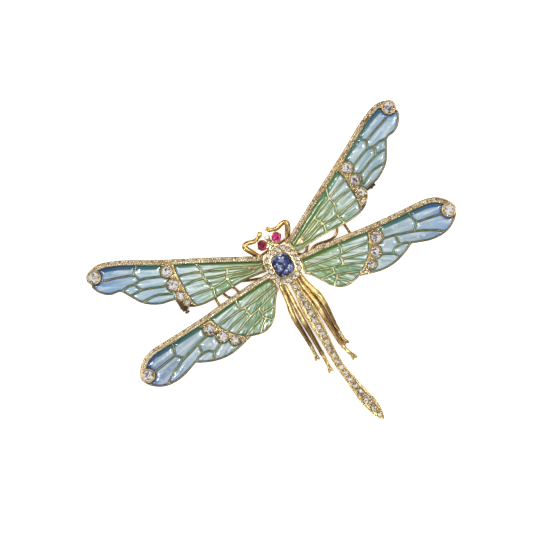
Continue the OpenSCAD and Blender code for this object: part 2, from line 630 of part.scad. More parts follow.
// Cross-section: rounded underside, two raised edges and a channel between them
function tail_ring(s) = let (m = tail_mid(s), w = tail_width(s), t = 0.3 * w + 0.75)
    [for (q = [[0, -t], [0.3, -0.85 * t], [0.5, -0.4 * t], [0.5, -0.1], [0.44, 0], [0.37, 0],
        [0.33, -0.14], [-0.33, -0.14], [-0.37, 0], [-0.44, 0], [-0.5, -0.1], [-0.5, -0.4 * t],
        [-0.3, -0.85 * t]]) m + [q[0] * w, 0, q[1]]];

// Places a piece on the abdomen's sloping top, at the girdle of its diamond
module on_tail(s) {
    slope = atan((tail_top - tail_end_z) / tail_len);
    translate(tail_mid(s)) rotate([slope, 0, 0]) translate([0, 0, -0.1]) children();
}

module abdomen() {
    color("goldenrod") difference() {
        loft([for (r = curve(TAIL, 2)) tail_ring(r[0])]);
        for (s = tail_stops(TAIL_STONES[0]))
            on_tail(s) seat(tail_stone(s), 1, pavilion_share * tail_stone(s));
    }
}

module abdomen_diamonds() {
    color("white") for (s = tail_stops(TAIL_STONES[0])) on_tail(s) single_cut(tail_stone(s));
}

// Hind legs

module hind_leg(side, spread, length) {
    start = -thorax_l / 2 + 1;
    rows = curve([for (i = [0 : len(LEG) - 1])
        [spread[i] * leg_spread, start - LEG[i][0] * length, LEG[i][1] * wing_z, LEG[i][2] * leg_r]], 2);
    path = [for (r = rows) [r[0], r[1], r[2]]];
    foot = path[len(path) - 1];
    color("darkgoldenrod") sided(side) {
        wire(path, [for (r = rows) r[3]]);
        for (claw = [-0.42, 0.78])
            wire([foot + [0.1 * claw, 0.3, 0], foot + [0.8 * claw, -0.6, -0.03],
                [foot[0] + claw, start - length, foot[2] - 0.1]], [0.3, 0.34, 0.26], sides = 6);
    }
}

// Bent wires between the wings

module bent_wire(side, table) {
    path = curve([for (p = table) concat(fore_pt(p), -wire_d / 2 - seat_gap)], 3);
    color("saddlebrown") on_wing("fore", side) wire(path, [for (p = path) wire_d / 2]);
}

// Pin fitting

hinge_at = fore_pt(HINGE_AT);
catch_at = fore_pt(CATCH_AT);
stem_run = [hinge_at[0] + catch_at[0], hinge_at[1] - catch_at[1]];
stem_len = norm(stem_run);
stem_turn = atan2(stem_run[1], stem_run[0]);
// Radii of the parts of the catch, from the stem outwards
sleeve_in = stem_d / 2 + turn_gap + 0.08;
sleeve_out = sleeve_in + catch_wall;
ring_in = sleeve_out + turn_gap;
ring_out = ring_in + catch_wall;
// Diameters of the lever's arm and of its thumb piece
arm_d = 0.72;
thumb_d = 1.5;
// Radii of the hinge's knuckle and ears, the ears reaching down to the surface
knuckle_r = rivet_d / 2 + 0.6;
ear_r = stem_z - rest_gap;
// Thickness and length of the plates that carry the fitting
plate_t = 0.7;
plate_len = 4;
// Length of the stem's point, and share of the stem that tapers towards it
point_len = 1.6;
taper_share = 0.595;
// Length and width of the stem's swell at the knuckle, from the rivet
swell_len = ear_r + 0.8;
swell_d = 1.3 * stem_d;

// Height of the wings' undersides at a distance out from the middle line
function wing_under(x) = wing_z + (x - fore_root[0]) * tan(wing_lift);

// Places a piece in the pin's own frame, with X along the stem from the catch
// and the stem's axis at z = 0
module on_pin() {
    translate([-catch_at[0], catch_at[1], stem_z]) rotate([0, 0, stem_turn]) children();
}

module pin_hinge() {
    top = wing_under(hinge_at[0] - plate_len) - stem_z - seat_gap;
    half = knuckle_w / 2 + turn_gap;
    wide = 2 * (half + ear_t);
    color("goldenrod") on_pin() translate([stem_len, 0, 0]) {
        for (at = [-half - ear_t, half]) {
            translate([0, at + ear_t, 0]) rotate([90, 0, 0]) cylinder(r = ear_r, h = ear_t);
            translate([-ear_r, at, 0]) cube([2 * ear_r, ear_t, top - plate_t / 2]);
        }
        rotate([90, 0, 0]) cylinder(d = rivet_d, h = wide + 0.5, center = true);
        translate([-plate_len, -wide / 2, top - plate_t]) cube([plate_len + ear_r, wide, plate_t]);
    }
}

module pin_stem() {
    taper_len = taper_share * stem_len;
    color("gold") on_pin() difference() {
        union() {
            translate([stem_len, knuckle_w / 2, 0]) rotate([90, 0, 0])
                cylinder(r = knuckle_r, h = knuckle_w);
            rotate([0, 90, 0]) cylinder(d1 = stem_end_d, d2 = stem_d, h = taper_len);
            translate([taper_len, 0, 0]) rotate([0, 90, 0])
                cylinder(d = stem_d, h = stem_len - swell_len - taper_len);
            translate([stem_len - swell_len, 0, 0]) rotate([0, 90, 0])
                cylinder(d1 = stem_d, d2 = swell_d, h = swell_len - rivet_d);
            translate([-point_len, 0, 0]) rotate([0, 90, 0])
                cylinder(d1 = 0.25, d2 = stem_end_d, h = point_len);
        }
        translate([stem_len, 0, 0]) rotate([90, 0, 0])
            cylinder(d = rivet_d + 2 * turn_gap, h = knuckle_w + 2, center = true);
    }
}

// Ring part between two radii along the stem, centred on the catch
module sleeve(inner, outer, length) {
    rotate([0, 90, 0]) difference() {
        cylinder(r = outer, h = length, center = true);
        cylinder(r = inner, h = length + 2, center = true);
    }
}

module catch_ring() {
    top = wing_under(catch_at[0] - plate_len) - stem_z - seat_gap;
    mouth = stem_d + 4 * turn_gap;
    color("goldenrod") on_pin() difference() {
        union() {
            sleeve(ring_in, ring_out, catch_len);
            translate([-catch_len / 2, 0.1, ring_in + 0.1])
                cube([catch_len, ring_out, top - ring_in - 0.1]);
            translate([-catch_len / 2, 0.1, top - plate_t]) cube([plate_len, plate_len - 1, plate_t]);
        }
        rotate([0, 90, 0]) cylinder(r = ring_in, h = catch_len + 2, center = true);
        translate([-catch_len, -mouth / 2, -ring_out - 1]) cube([2 * catch_len, mouth, ring_out + 1]);
        thumb_way();
    }
}

// Way cut through the ring for the lever's arm, from level to its upper stop
module thumb_way() {
    wide = arm_d + 2 * turn_gap;
    for (angle = [0 : 15 : 60])
        rotate([-angle, 0, 0]) translate([-wide / 2, -ring_out - 1, -wide / 2])
            cube([wide, ring_out + 1, wide]);
}

module catch_lever() {
    mouth = stem_d + 2 * turn_gap;
    arm_at = sleeve_in + catch_wall / 2;
    thumb_at = ring_out + 0.2;
    color("darkgoldenrod") on_pin() difference() {
        union() {
            sleeve(sleeve_in, sleeve_out, catch_len - 4 * turn_gap);
            translate([0, -arm_at, 0]) rotate([90, 0, 0]) cylinder(d = arm_d, h = thumb_reach - arm_at);
            translate([0, -thumb_at, 0]) rotate([90, 0, 0])
                cylinder(d = thumb_d, h = thumb_reach - thumb_at);
        }
        translate([-catch_len, -mouth / 2, -ring_out]) cube([2 * catch_len, mouth, ring_out]);
    }
}

thorax();
sapphire();
halo_diamonds();
head();
eye(-1);  // eye_left
eye(1);  // eye_right
foreleg(-1);  // foreleg_left
foreleg(1);  // foreleg_right
wing_frame("fore", -1);  // forewing_left
wing_frame("fore", 1);  // forewing_right
wing_frame("hind", -1);  // hindwing_left
wing_frame("hind", 1);  // hindwing_right
wing_enamel("fore", -1);  // forewing_left_enamel
wing_enamel("fore", 1);  // forewing_right_enamel
wing_enamel("hind", -1);  // hindwing_left_enamel
wing_enamel("hind", 1);  // hindwing_right_enamel
tip_diamond("fore", -1);  // forewing_left_tip_diamond
tip_diamond("fore", 1);  // forewing_right_tip_diamond
tip_diamond("hind", -1);  // hindwing_left_tip_diamond
tip_diamond("hind", 1);  // hindwing_right_tip_diamond
band_diamond("fore", -1, 1);  // forewing_left_diamond_1
band_diamond("fore", -1, 2);  // forewing_left_diamond_2
band_diamond("fore", -1, 3);  // forewing_left_diamond_3
band_diamond("fore", -1, 4);  // forewing_left_diamond_4
band_diamond("fore", 1, 1);  // forewing_right_diamond_1
band_diamond("fore", 1, 2);  // forewing_right_diamond_2
band_diamond("fore", 1, 3);  // forewing_right_diamond_3
band_diamond("fore", 1, 4);  // forewing_right_diamond_4
band_diamond("hind", -1, 1);  // hindwing_left_diamond_1
band_diamond("hind", -1, 2);  // hindwing_left_diamond_2
band_diamond("hind", -1, 3);  // hindwing_left_diamond_3
band_diamond("hind", -1, 4);  // hindwing_left_diamond_4
band_diamond("hind", 1, 1);  // hindwing_right_diamond_1
band_diamond("hind", 1, 2);  // hindwing_right_diamond_2
band_diamond("hind", 1, 3);  // hindwing_right_diamond_3
band_diamond("hind", 1, 4);  // hindwing_right_diamond_4
abdomen();
abdomen_diamonds();
hind_leg(-1, LEFT_OUTER, outer_leg);  // hind_leg_left_outer
hind_leg(-1, LEFT_INNER, inner_leg);  // hind_leg_left_inner
hind_leg(1, RIGHT_OUTER, outer_leg);  // hind_leg_right_outer
hind_leg(1, RIGHT_INNER, inner_leg);  // hind_leg_right_inner
bent_wire(-1, LEFT_BRACE);  // wing_brace_left
bent_wire(1, RIGHT_BRACE);  // wing_brace_right
bent_wire(-1, LEFT_STAY);  // wing_stay_left
bent_wire(1, RIGHT_STAY);  // wing_stay_right
pin_hinge();
pin_stem();
catch_ring();  // catch
catch_lever();
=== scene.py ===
import math
import random

import bmesh
import bpy
import numpy as np
from mathutils import Matrix, Vector, geometry, kdtree


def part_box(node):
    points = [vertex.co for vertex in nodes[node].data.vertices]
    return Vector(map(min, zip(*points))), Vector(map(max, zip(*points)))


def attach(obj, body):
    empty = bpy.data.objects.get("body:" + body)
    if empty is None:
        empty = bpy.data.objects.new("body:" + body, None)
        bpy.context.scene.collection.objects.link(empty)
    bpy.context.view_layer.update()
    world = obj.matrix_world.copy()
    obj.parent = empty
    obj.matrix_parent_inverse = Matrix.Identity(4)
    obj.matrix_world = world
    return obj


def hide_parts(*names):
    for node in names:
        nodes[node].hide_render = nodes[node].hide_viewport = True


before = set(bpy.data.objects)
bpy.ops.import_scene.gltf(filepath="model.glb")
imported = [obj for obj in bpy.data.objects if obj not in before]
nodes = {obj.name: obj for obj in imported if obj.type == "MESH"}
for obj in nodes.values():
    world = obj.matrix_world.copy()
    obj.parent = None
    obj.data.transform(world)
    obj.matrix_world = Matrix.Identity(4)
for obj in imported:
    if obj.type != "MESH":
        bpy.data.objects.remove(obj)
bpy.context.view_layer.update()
mm = 0.001
dice = random.Random(11)
print("frame loaded:", len(nodes), "nodes")


# Small tools

# How copies of the frame's pieces are shaped, in millimetres and degrees
shaping = {
    "merge": 0.003,  # points nearer than this are one
    "bevelSegments": 2, "bevelFrom": 28, "bevelShade": 35,
    "quadFlat": 50, "quadSquare": 60, "lowest": 0.03, "roundShade": 60,
}


def pickOnly(obj):
    bpy.ops.object.select_all(action="DESELECT")
    obj.select_set(True)
    bpy.context.view_layer.objects.active = obj


def editAll(obj, step):
    pickOnly(obj)
    bpy.ops.object.mode_set(mode="EDIT")
    bpy.ops.mesh.select_all(action="SELECT")
    step()
    bpy.ops.object.mode_set(mode="OBJECT")


def applyModifiers(obj):
    pickOnly(obj)
    for modifier in list(obj.modifiers):
        bpy.ops.object.modifier_apply(modifier=modifier.name)


def smoothShade(obj, degrees):
    pickOnly(obj)
    bpy.ops.object.shade_smooth_by_angle(angle=math.radians(degrees))


def newObject(name, data):
    made = bpy.data.objects.new(name, data)
    bpy.context.scene.collection.objects.link(made)
    return made


def copyNode(node, name):
    piece = newObject(name, nodes[node].data.copy())
    piece.data.name = name
    piece.data.materials.clear()
    if piece.data.has_custom_normals:
        editAll(piece, bpy.ops.mesh.customdata_custom_splitnormals_clear)
    editAll(piece, lambda: bpy.ops.mesh.remove_doubles(threshold=shaping["merge"] * mm))
    return piece


def softened(node, name, width):
    piece = copyNode(node, name)
    bevel = piece.modifiers.new("softEdges", "BEVEL")
    bevel.width = width * mm
    bevel.segments = shaping["bevelSegments"]
    bevel.limit_method = "ANGLE"
    bevel.angle_limit = math.radians(shaping["bevelFrom"])
    bevel.use_clamp_overlap = False
    applyModifiers(piece)
    smoothShade(piece, shaping["bevelShade"])
    return piece


def rounded(node, name, grow):
    # The rounding draws the piece in, and grow puts that back
    piece = copyNode(node, name)
    editAll(piece, lambda: bpy.ops.mesh.tris_convert_to_quads(
        face_threshold=math.radians(shaping["quadFlat"]),
        shape_threshold=math.radians(shaping["quadSquare"])))
    smooth = piece.modifiers.new("rounder", "SUBSURF")
    smooth.levels = smooth.render_levels = 1
    applyModifiers(piece)
    editAll(piece, lambda: bpy.ops.transform.shrink_fatten(value=grow * mm))
    for vertex in piece.data.vertices:
        vertex.co.z = max(vertex.co.z, shaping["lowest"] * mm)
    smoothShade(piece, shaping["roundShade"])
    return piece


def newPiece(name, points, faces):
    mesh = bpy.data.meshes.new(name)
    mesh.from_pydata([tuple(p) for p in points], [], faces)
    return newObject(name, mesh)


def scattered(seed, places, name):
    points, faces = [], []
    seedPoints = [v.co.copy() for v in seed.data.vertices]
    seedFaces = [tuple(f.vertices) for f in seed.data.polygons]
    for place in places:
        # A mirrored place turns the faces round
        step = -1 if place.determinant() < 0 else 1
        start = len(points)
        points += [place @ p for p in seedPoints]
        faces += [tuple(start + k for k in f[::step]) for f in seedFaces]
    return newPiece(name, points, faces)


def dress(piece, material):
    piece.data.materials.clear()
    piece.data.materials.append(material)


def finishPiece(piece, material, body, slot, *replaced):
    dress(piece, material)
    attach(piece, body)
    if replaced:
        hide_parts(*replaced)
    return piece


def paint(piece, name, values):
    # A colour or a number at each point, for the material to read
    if isinstance(values[0], tuple):
        made = piece.data.attributes.new(name, "FLOAT_COLOR", "POINT")
        colours = np.array([(*value, 1) for value in values], np.float32)
        made.data.foreach_set("color", colours.ravel())
    else:
        made = piece.data.attributes.new(name, "FLOAT", "POINT")
        made.data.foreach_set("value", np.array(values, np.float32))


def middle(node):
    low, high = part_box(node)
    return (low + high) / 2


def between(value, none, full):
    # 0 at none and 1 at full, whichever of them is larger
    return min(max((value - none) / (full - none), 0), 1)


def blend(a, b, t):
    return tuple(x + (y - x) * t for x, y in zip(a, b))


def linear(r, g, b):
    # A screen colour out of 255, as the shader counts it
    return tuple((c / 255 / 12.92 if c < 10.3 else ((c / 255 + 0.055) / 1.055) ** 2.4)
                 for c in (r, g, b))


# Effects that more than one finish uses

def newGroup(name, inputs, outputs):
    group = bpy.data.node_groups.new(name, "ShaderNodeTree")
    for socket, value in inputs:
        made = group.interface.new_socket(name=socket, in_out="INPUT",
                                          socket_type="NodeSocketFloat")
        made.default_value = value
    for socket in outputs:
        group.interface.new_socket(name=socket, in_out="OUTPUT", socket_type="NodeSocketFloat")
    return group, group.nodes.new("NodeGroupInput"), group.nodes.new("NodeGroupOutput")


def feed(tree, socket, value):
    # By a link from another socket, or with a plain value
    if isinstance(value, bpy.types.NodeSocket):
        tree.links.new(value, socket)
    else:
        socket.default_value = value


def addNode(tree, kind, **values):
    node = tree.nodes.new("ShaderNode" + kind)
    for key, value in values.items():
        if key in node.inputs:
            feed(tree, node.inputs[key], value)
        else:
            setattr(node, key, value)
    return node


def combined(tree, operation, a, b, kind="Math"):
    node = addNode(tree, kind, operation=operation)
    feed(tree, node.inputs[0], a)
    feed(tree, node.inputs[1], b)
    return node.outputs[0]


# Cloud is the broad unevenness, Fine the grain, and Recess the painted shade in hollows up to Depth
# metres
grainSet = {"scale": 400.0, "depth": 0.0006, "finer": 7, "cloudDetail": 2.0, "fineDetail": 4.0,
            "samples": 4}


def buildGrain():
    group, given, out = newGroup(
        "surfaceGrain", [("Scale", grainSet["scale"]), ("Depth", grainSet["depth"])],
        ["Cloud", "Fine", "RecessShade"])
    place = addNode(group, "TexCoord").outputs["Object"]
    scale = given.outputs["Scale"]
    finer = combined(group, "MULTIPLY", scale, grainSet["finer"])
    cloud = addNode(group, "TexNoise", Vector=place, Scale=scale, Detail=grainSet["cloudDetail"])
    fine = addNode(group, "TexNoise", Vector=place, Scale=finer, Detail=grainSet["fineDetail"])
    hollowShade = addNode(group, "AmbientOcclusion", Distance=given.outputs["Depth"],
                     samples=grainSet["samples"])
    feed(group, out.inputs["Cloud"], cloud.outputs["Fac"])
    feed(group, out.inputs["Fine"], fine.outputs["Fac"])
    feed(group, out.inputs["RecessShade"], combined(group, "SUBTRACT", 1, hollowShade.outputs["AO"]))
    return group


grainGroup = buildGrain()


def newMaterial(name):
    material = bpy.data.materials.new(name)
    material.use_nodes = True
    return material, material.node_tree


def dressShader(tree, values):
    for name, value in values.items():
        feed(tree, tree.nodes["Principled BSDF"].inputs[name], value)


def mixColour(tree, a, b, factor):
    mix = addNode(tree, "Mix", data_type="RGBA")
    for socket, value in ((0, factor), (6, a), (7, b)):
        feed(tree, mix.inputs[socket], (*value, 1) if isinstance(value, tuple) else value)
    return mix.outputs[2]


def mapped(tree, value, low, high, toLow, toHigh, smooth=False):
    ends = {"From Min": low, "From Max": high, "To Min": toLow, "To Max": toHigh}
    node = addNode(tree, "MapRange", interpolation_type="SMOOTHSTEP" if smooth else "LINEAR",
                   clamp=True, Value=value, **ends)
    return node.outputs["Result"]


# Gold: dull is how far clouds darken it, and hollow how far painted shade darkens its recesses
goldGrain = {"cloud": (0.35, 0.75), "recessShade": (0.1, 0.9), "fine": (0.3, 0.7),
             "smoother": 0.08, "rougher": 0.1, "bump": 0.25, "bumpDepth": 0.04}
goldLooks = {
    "bright": dict(colour=(0.86, 0.65, 0.32), dark=(0.24, 0.13, 0.05), rough=0.22, scale=500.0,
                   hollowShade=0.3, dull=0.6),
    "wing": dict(dark=(0.1, 0.075, 0.03), rough=0.34, scale=520.0, dull=0.85),
    "tail": dict(colour=(0.67, 0.51, 0.24), dark=(0.26, 0.15, 0.05), rough=0.3, scale=500.0,
                 hollowShade=0.1, dull=0.6),
    "leg": dict(dark=(0.10, 0.045, 0.015), rough=0.3, scale=700.0, dull=0.75),
    "foreleg": dict(colour=(0.64, 0.43, 0.16), dark=(0.15, 0.08, 0.03), rough=0.28, scale=500.0,
                    dull=0.4),
    "wire": dict(colour=(0.34, 0.19, 0.07), dark=(0.08, 0.035, 0.015), rough=0.22, scale=400.0,
                 dull=0.7),
    "fitting": dict(colour=(0.2, 0.13, 0.06), dark=(0.035, 0.02, 0.01), rough=0.3, scale=400.0,
                    dull=0.7),
    # The hinge's near-black is a darker copy of the fitting gold, painted shade
    "hinge": dict(colour=(0.02, 0.012, 0.006), dark=(0.008, 0.005, 0.003), rough=0.3,
                  scale=400.0, dull=0.7),
    "bead": dict(colour=(0.92, 0.77, 0.48), dark=(0.3, 0.18, 0.07), rough=0.2, scale=900.0,
                 hollowShade=0.8, dull=0.6),
}


def goldMaterial(name, dark, rough, scale, dull, colour=None, hollowShade=0.7):
    # With no colour of its own, the gold takes the piece's painted tint
    material, tree = newMaterial(name)
    look = goldGrain
    grain = addNode(tree, "Group", node_tree=grainGroup, Scale=scale)
    if colour is None:
        colour = addNode(tree, "Attribute", attribute_name="tint").outputs["Color"]
    cloudy = mixColour(tree, colour, dark,
                       mapped(tree, grain.outputs["Cloud"], *look["cloud"], 0, dull))
    # Painted shade: the gold is darker in recesses
    deep = mixColour(tree, cloudy, dark,
                     mapped(tree, grain.outputs["RecessShade"], *look["recessShade"], 0, hollowShade))
    relief = addNode(tree, "Bump", Strength=look["bump"], Distance=look["bumpDepth"] * mm,
                     Height=grain.outputs["Fine"])
    dressShader(tree, {
        "Base Color": deep, "Metallic": 1, "Normal": relief.outputs["Normal"],
        "Roughness": mapped(tree, grain.outputs["Fine"], *look["fine"],
                            rough - look["smoother"], rough + look["rougher"])})
    return material


gold = {name: goldMaterial(name + "Gold", **look) for name, look in goldLooks.items()}

# Stones: the tones that facets take, which are painted reflections, how fast they change with the
# way a facet faces and with its place, and the sizes of painted glints and sparks, in counts to the
# metre
facetMix = {"noise": (0.25, 0.75), "half": 0.5,
            "sparkFrom": (0.86, 0.97), "sparkMost": 0.9, "sparkColour": (0.85, 0.9, 1.0)}
stoneLooks = {
    "diamond": dict(
        stops=[(0.16, (0.05, 0.035, 0.04)), (0.3, (0.16, 0.12, 0.12)), (0.42, (0.42, 0.37, 0.33)),
               (0.55, (0.78, 0.74, 0.7)), (0.7, (0.95, 0.95, 0.94)), (0.86, (0.62, 0.5, 0.34))],
        glints=1700.0),
    "pave": dict(
        stops=[(0.34, (0.13, 0.075, 0.03)), (0.43, (0.42, 0.28, 0.13)), (0.5, (0.78, 0.62, 0.38)),
               (0.57, (0.99, 0.95, 0.82)), (0.75, (0.66, 0.47, 0.22))],
        glints=1300.0, rough=0.26, ior=1.5),
    # A lighter, lit copy of the pave: painted light on the rows that take it
    "litPave": dict(
        stops=[(0.24, (0.3, 0.2, 0.1)), (0.37, (0.58, 0.45, 0.27)), (0.5, (0.86, 0.75, 0.54)),
               (0.63, (1.0, 0.97, 0.86)), (0.82, (0.7, 0.53, 0.3))],
        glints=1700.0, rough=0.14, ior=1.8),
    "halo": dict(
        stops=[(0.24, (0.16, 0.11, 0.08)), (0.37, (0.42, 0.33, 0.25)), (0.5, (0.76, 0.68, 0.56)),
               (0.63, (0.97, 0.95, 0.88)), (0.82, (0.6, 0.46, 0.28))],
        glints=1700.0, rough=0.12, ior=2.0),
    "sapphire": dict(
        stops=[(0.26, (0.003, 0.004, 0.016)), (0.4, (0.008, 0.011, 0.05)),
               (0.52, (0.02, 0.026, 0.1)), (0.66, (0.07, 0.085, 0.25)), (0.82, (0.3, 0.34, 0.55))],
        turn=6.0, scatter=150.0, glints=900.0, sparks=1900.0, ior=1.77, coat=0.4),
    "ruby": dict(
        stops=[(0.2, (0.2, 0.002, 0.04)), (0.4, (0.48, 0.008, 0.12)), (0.6, (0.75, 0.03, 0.25)),
               (0.85, (0.95, 0.4, 0.65))],
        turn=5.0, scatter=700.0, glints=1500.0, ior=1.77, coat=0.4),
    "darkRuby": dict(
        stops=[(0.2, (0.05, 0.002, 0.01)), (0.4, (0.17, 0.003, 0.02)), (0.6, (0.36, 0.008, 0.05)),
               (0.86, (0.75, 0.16, 0.25))],
        turn=5.0, scatter=700.0, glints=1500.0, ior=1.77, coat=0.4),
}


def stoneMaterial(name, stops, glints, turn=7.0, scatter=900.0, sparks=0.0, rough=0.06, ior=2.4,
                  coat=0.0):
    # Each facet takes a painted reflection tone from the way it faces, and small painted glints
    # break it up
    material, tree = newMaterial(name)
    place = addNode(tree, "TexCoord")
    spot = place.outputs["Object"]
    facing = addNode(tree, "VectorMath", operation="SCALE", Vector=place.outputs["Normal"],
                     Scale=turn)
    where = addNode(tree, "VectorMath", operation="SCALE", Vector=spot, Scale=scatter)
    both = combined(tree, "ADD", facing.outputs[0], where.outputs[0], "VectorMath")
    noise = addNode(tree, "TexNoise", Vector=both, Scale=1.0, Detail=1.0)

    def chance(size, channel):
        cells = addNode(tree, "TexVoronoi", Vector=spot, Scale=size)
        return addNode(tree, "SeparateColor", Color=cells.outputs["Color"]).outputs[channel]

    half = facetMix["half"]
    tone = combined(tree, "ADD", mapped(tree, noise.outputs["Fac"], *facetMix["noise"], 0, half),
                    mapped(tree, chance(glints, "Red"), 0, 1, 0, half))
    ramp = addNode(tree, "ValToRGB", Fac=tone)
    while len(ramp.color_ramp.elements) < len(stops):
        ramp.color_ramp.elements.new(0.5)
    for element, (at, colour) in zip(ramp.color_ramp.elements, stops):
        element.position = at
        element.color = (*colour, 1)
    colour = ramp.outputs["Color"]
    # Painted sparks: a few cells turn to a white glint
    if sparks:
        lit = mapped(tree, chance(sparks, "Green"), *facetMix["sparkFrom"], 0,
                     facetMix["sparkMost"])
        colour = mixColour(tree, colour, facetMix["sparkColour"], lit)
    dressShader(tree, {"Base Color": colour, "Roughness": rough, "IOR": ior, "Coat Weight": coat})
    return material


stone = {name: stoneMaterial(name + "Facets", **look) for name, look in stoneLooks.items()}
print("finishes ready")


# The wings' own plane: x out, y forwards and h up from the underside, in millimetres, with lift
# and turn in degrees

wing = {"base": 3.0, "lift": 2.0, "thick": 1.1, "railUp": 0.35, "railWide": 1.85, "bandUp": 0.7,
        "level": 0.02}  # points within this of a height are on it
wingPlans = {
    "fore": {
        "root": (4.5, 1.7), "reach": 50, "rise": 25, "turn": 0.0, "inward": (1, -1),
        "lead": [(0.007, 0.175), (0.067, 0.24), (0.307, 0.498), (0.587, 0.788), (0.747, 0.968),
                 (0.827, 1.05), (0.908, 1.109), (0.959, 1.119), (1.001, 1.102)],
        "railEnds": (0.6, 1.2),
    },
    "hind": {
        "root": (5.0, -0.25), "reach": 50, "rise": -10, "turn": 1.2, "inward": (0, -1),
        "lead": [(0.004, -0.035), (0.1, -0.018), (0.302, 0.072), (0.502, 0.192), (0.701, 0.262),
                 (0.862, 0.304), (0.923, 0.353), (0.974, 0.463), (1.018, 0.66), (1.043, 0.893)],
        "railEnds": (0.6, 1.0),
    },
}
wings = [(kind, side) for kind in ("fore", "hind") for side in (-1, 1)]


def wingName(kind, side):
    return f"{kind}wing_{'right' if side > 0 else 'left'}"


def wingMatrix(kind, side):
    plan = wingPlans[kind]
    root = Vector((*plan["root"], 0))
    local = (Matrix.Translation(root + Vector((0, 0, wing["base"])))
             @ Matrix.Rotation(math.radians(-wing["lift"]), 4, "Y")
             @ Matrix.Rotation(math.radians(-side * plan["turn"]), 4, "Z")
             @ Matrix.Translation(-root))
    return Matrix.Scale(mm, 4) @ Matrix.Diagonal((side, 1, 1, 1)) @ local


def throughPoints(points, steps):
    # Smooth curve through given points
    made = []
    for i in range(len(points) - 1):
        a, b = points[max(i - 1, 0)], points[i]
        c, d = points[i + 1], points[min(i + 2, len(points) - 1)]
        for k in range(steps):
            t = k / steps
            made.append(0.5 * (2 * b + (c - a) * t + (2 * a - 5 * b + 4 * c - d) * t * t
                               + (3 * b - a - 3 * c + d) * t ** 3))
    return made + [points[-1]]


def leadCurve(kind, steps):
    plan = wingPlans[kind]
    x, y = plan["root"]
    return throughPoints([Vector((x + p[0] * plan["reach"], y + p[1] * plan["rise"]))
                          for p in plan["lead"]], steps)


def walkLine(points, pitch, first, last):
    # Points and directions at an even pitch along a line
    spots, run, due = [], 0.0, first
    total = sum((b - a).length for a, b in zip(points, points[1:]))
    for a, b in zip(points, points[1:]):
        length = (b - a).length
        while due <= run + length and due <= total - last:
            spots.append((a.lerp(b, (due - run) / length), (b - a).normalized()))
            due += pitch
        run += length
    return spots


# Enamel: panes that swell between the gold threads

enamel = {
    # The mesh of a pane's top: its border's step, the rings inside that and the grid, and the
    # shares of those that points keep clear of its edge
    "border": 0.45, "rings": (0.14, 0.36), "ringStep": 0.3, "ringClear": 0.93,
    "grid": 0.42, "row": 0.87, "gridClear": 0.25, "topFacing": 0.95, "shade": 50,
    # How far panes reach under the gold, their underside, their edge and how they swell
    "grow": 0.06, "low": 0.14, "edge": 0.80, "dome": 0.42, "swell": 0.7,
    "underEdge": 0.5,  # the edge distance painted on the underside, which keeps it pale
    # Tones by the share of the wing's reach
    "fore": [(0.0, (172, 180, 120)), (0.14, (182, 194, 144)), (0.2, (184, 204, 164)),
             (0.33, (192, 214, 200)), (0.48, (202, 219, 224)), (0.62, (180, 203, 214)),
             (0.76, (173, 197, 211)), (0.9, (150, 180, 205)), (1.05, (126, 160, 203))],
    "hind": [(0.0, (156, 172, 114)), (0.16, (178, 199, 158)), (0.26, (186, 211, 188)),
             (0.38, (204, 222, 218)), (0.58, (185, 203, 211)), (0.72, (178, 198, 210)),
             (0.85, (163, 186, 205)), (0.95, (144, 171, 202)), (1.05, (122, 154, 200))],
    # Deep tones by the share of the wing's reach: dark flecks, and the colour of the painted shade
    "deep": [(0.0, (82, 112, 36)), (0.2, (74, 115, 46)), (0.4, (62, 112, 72)),
             (0.6, (46, 103, 90)), (0.75, (40, 93, 100)), (0.9, (38, 79, 118)),
             (1.05, (36, 67, 134))],
    "light": 1.05, "paneLight": 0.1,
    # The greenest tone, its most on the trailing side, and where it fades along and across
    "leaf": (116, 160, 92), "leafMost": 0.75, "leafAlong": (0.45, 0.25), "leafAcross": (3.5, 8.5),
    # The strip of painted shade beside the rail, and from where on it takes its width near the root
    "strip": 1.4, "stripRoot": (0.6, 0.4), "leadSteps": 6, "leadFiner": 8,
    # Each wing's lightness, painted light for how much light falls on it, the width of its strip of
    # painted shade near the root, how green it is there, the lightness of its deep tones, also
    # painted light, and how early its tones turn blue
    "sides": {("fore", -1): dict(light=1.14, strip=0.75, green=0.0, deep=1.1, early=1.0),
              ("fore", 1): dict(light=0.98, strip=1.7, green=0.5, deep=1.4, early=0.9),
              ("hind", -1): dict(light=0.97, strip=0.9, green=0.1, deep=1.1, early=1.0),
              ("hind", 1): dict(light=1.06, strip=1.0, green=0.0, deep=1.3, early=0.98)},
    # Deep shade beside the gem band and round the tip's collet
    "bandShade": 0.7, "bandStep": 0.3, "tipRing": 2.4, "tipShade": 1.3,
    # Streaks of painted highlight and painted shade along the wing: turns to the millimetre out and
    # across, each pane's shift, and their strength near the root and further out
    "flow": (0.1, 0.575), "flowShift": 3, "streaks": (1.0, 0.4), "streakAlong": (0.42, 0.62),
}


def flatTriangles(node, toPlan, height):
    # Triangles of a wing's raised top, in the wing's plane
    mesh = nodes[node].data
    spots = [toPlan @ v.co for v in mesh.vertices]
    mesh.calc_loop_triangles()
    return [[spots[k].xy for k in face.vertices] for face in mesh.loop_triangles
            if all(abs(spots[k].z - height) < wing["level"] for k in face.vertices)]


def treeOf(points):
    tree = kdtree.KDTree(len(points))
    for k, p in enumerate(points):
        tree.insert((*p, 0), k)
    tree.balance()
    return tree


def fall(value, far):
    # 1 at nothing, 0 from far on
    t = between(value, far, 0)
    return t * t * (3 - 2 * t)


def tableColour(table, at):
    for (a, first), (b, second) in zip(table, table[1:]):
        if at <= b:
            return blend(first, second, between(at, a, b))
    return table[-1][1]


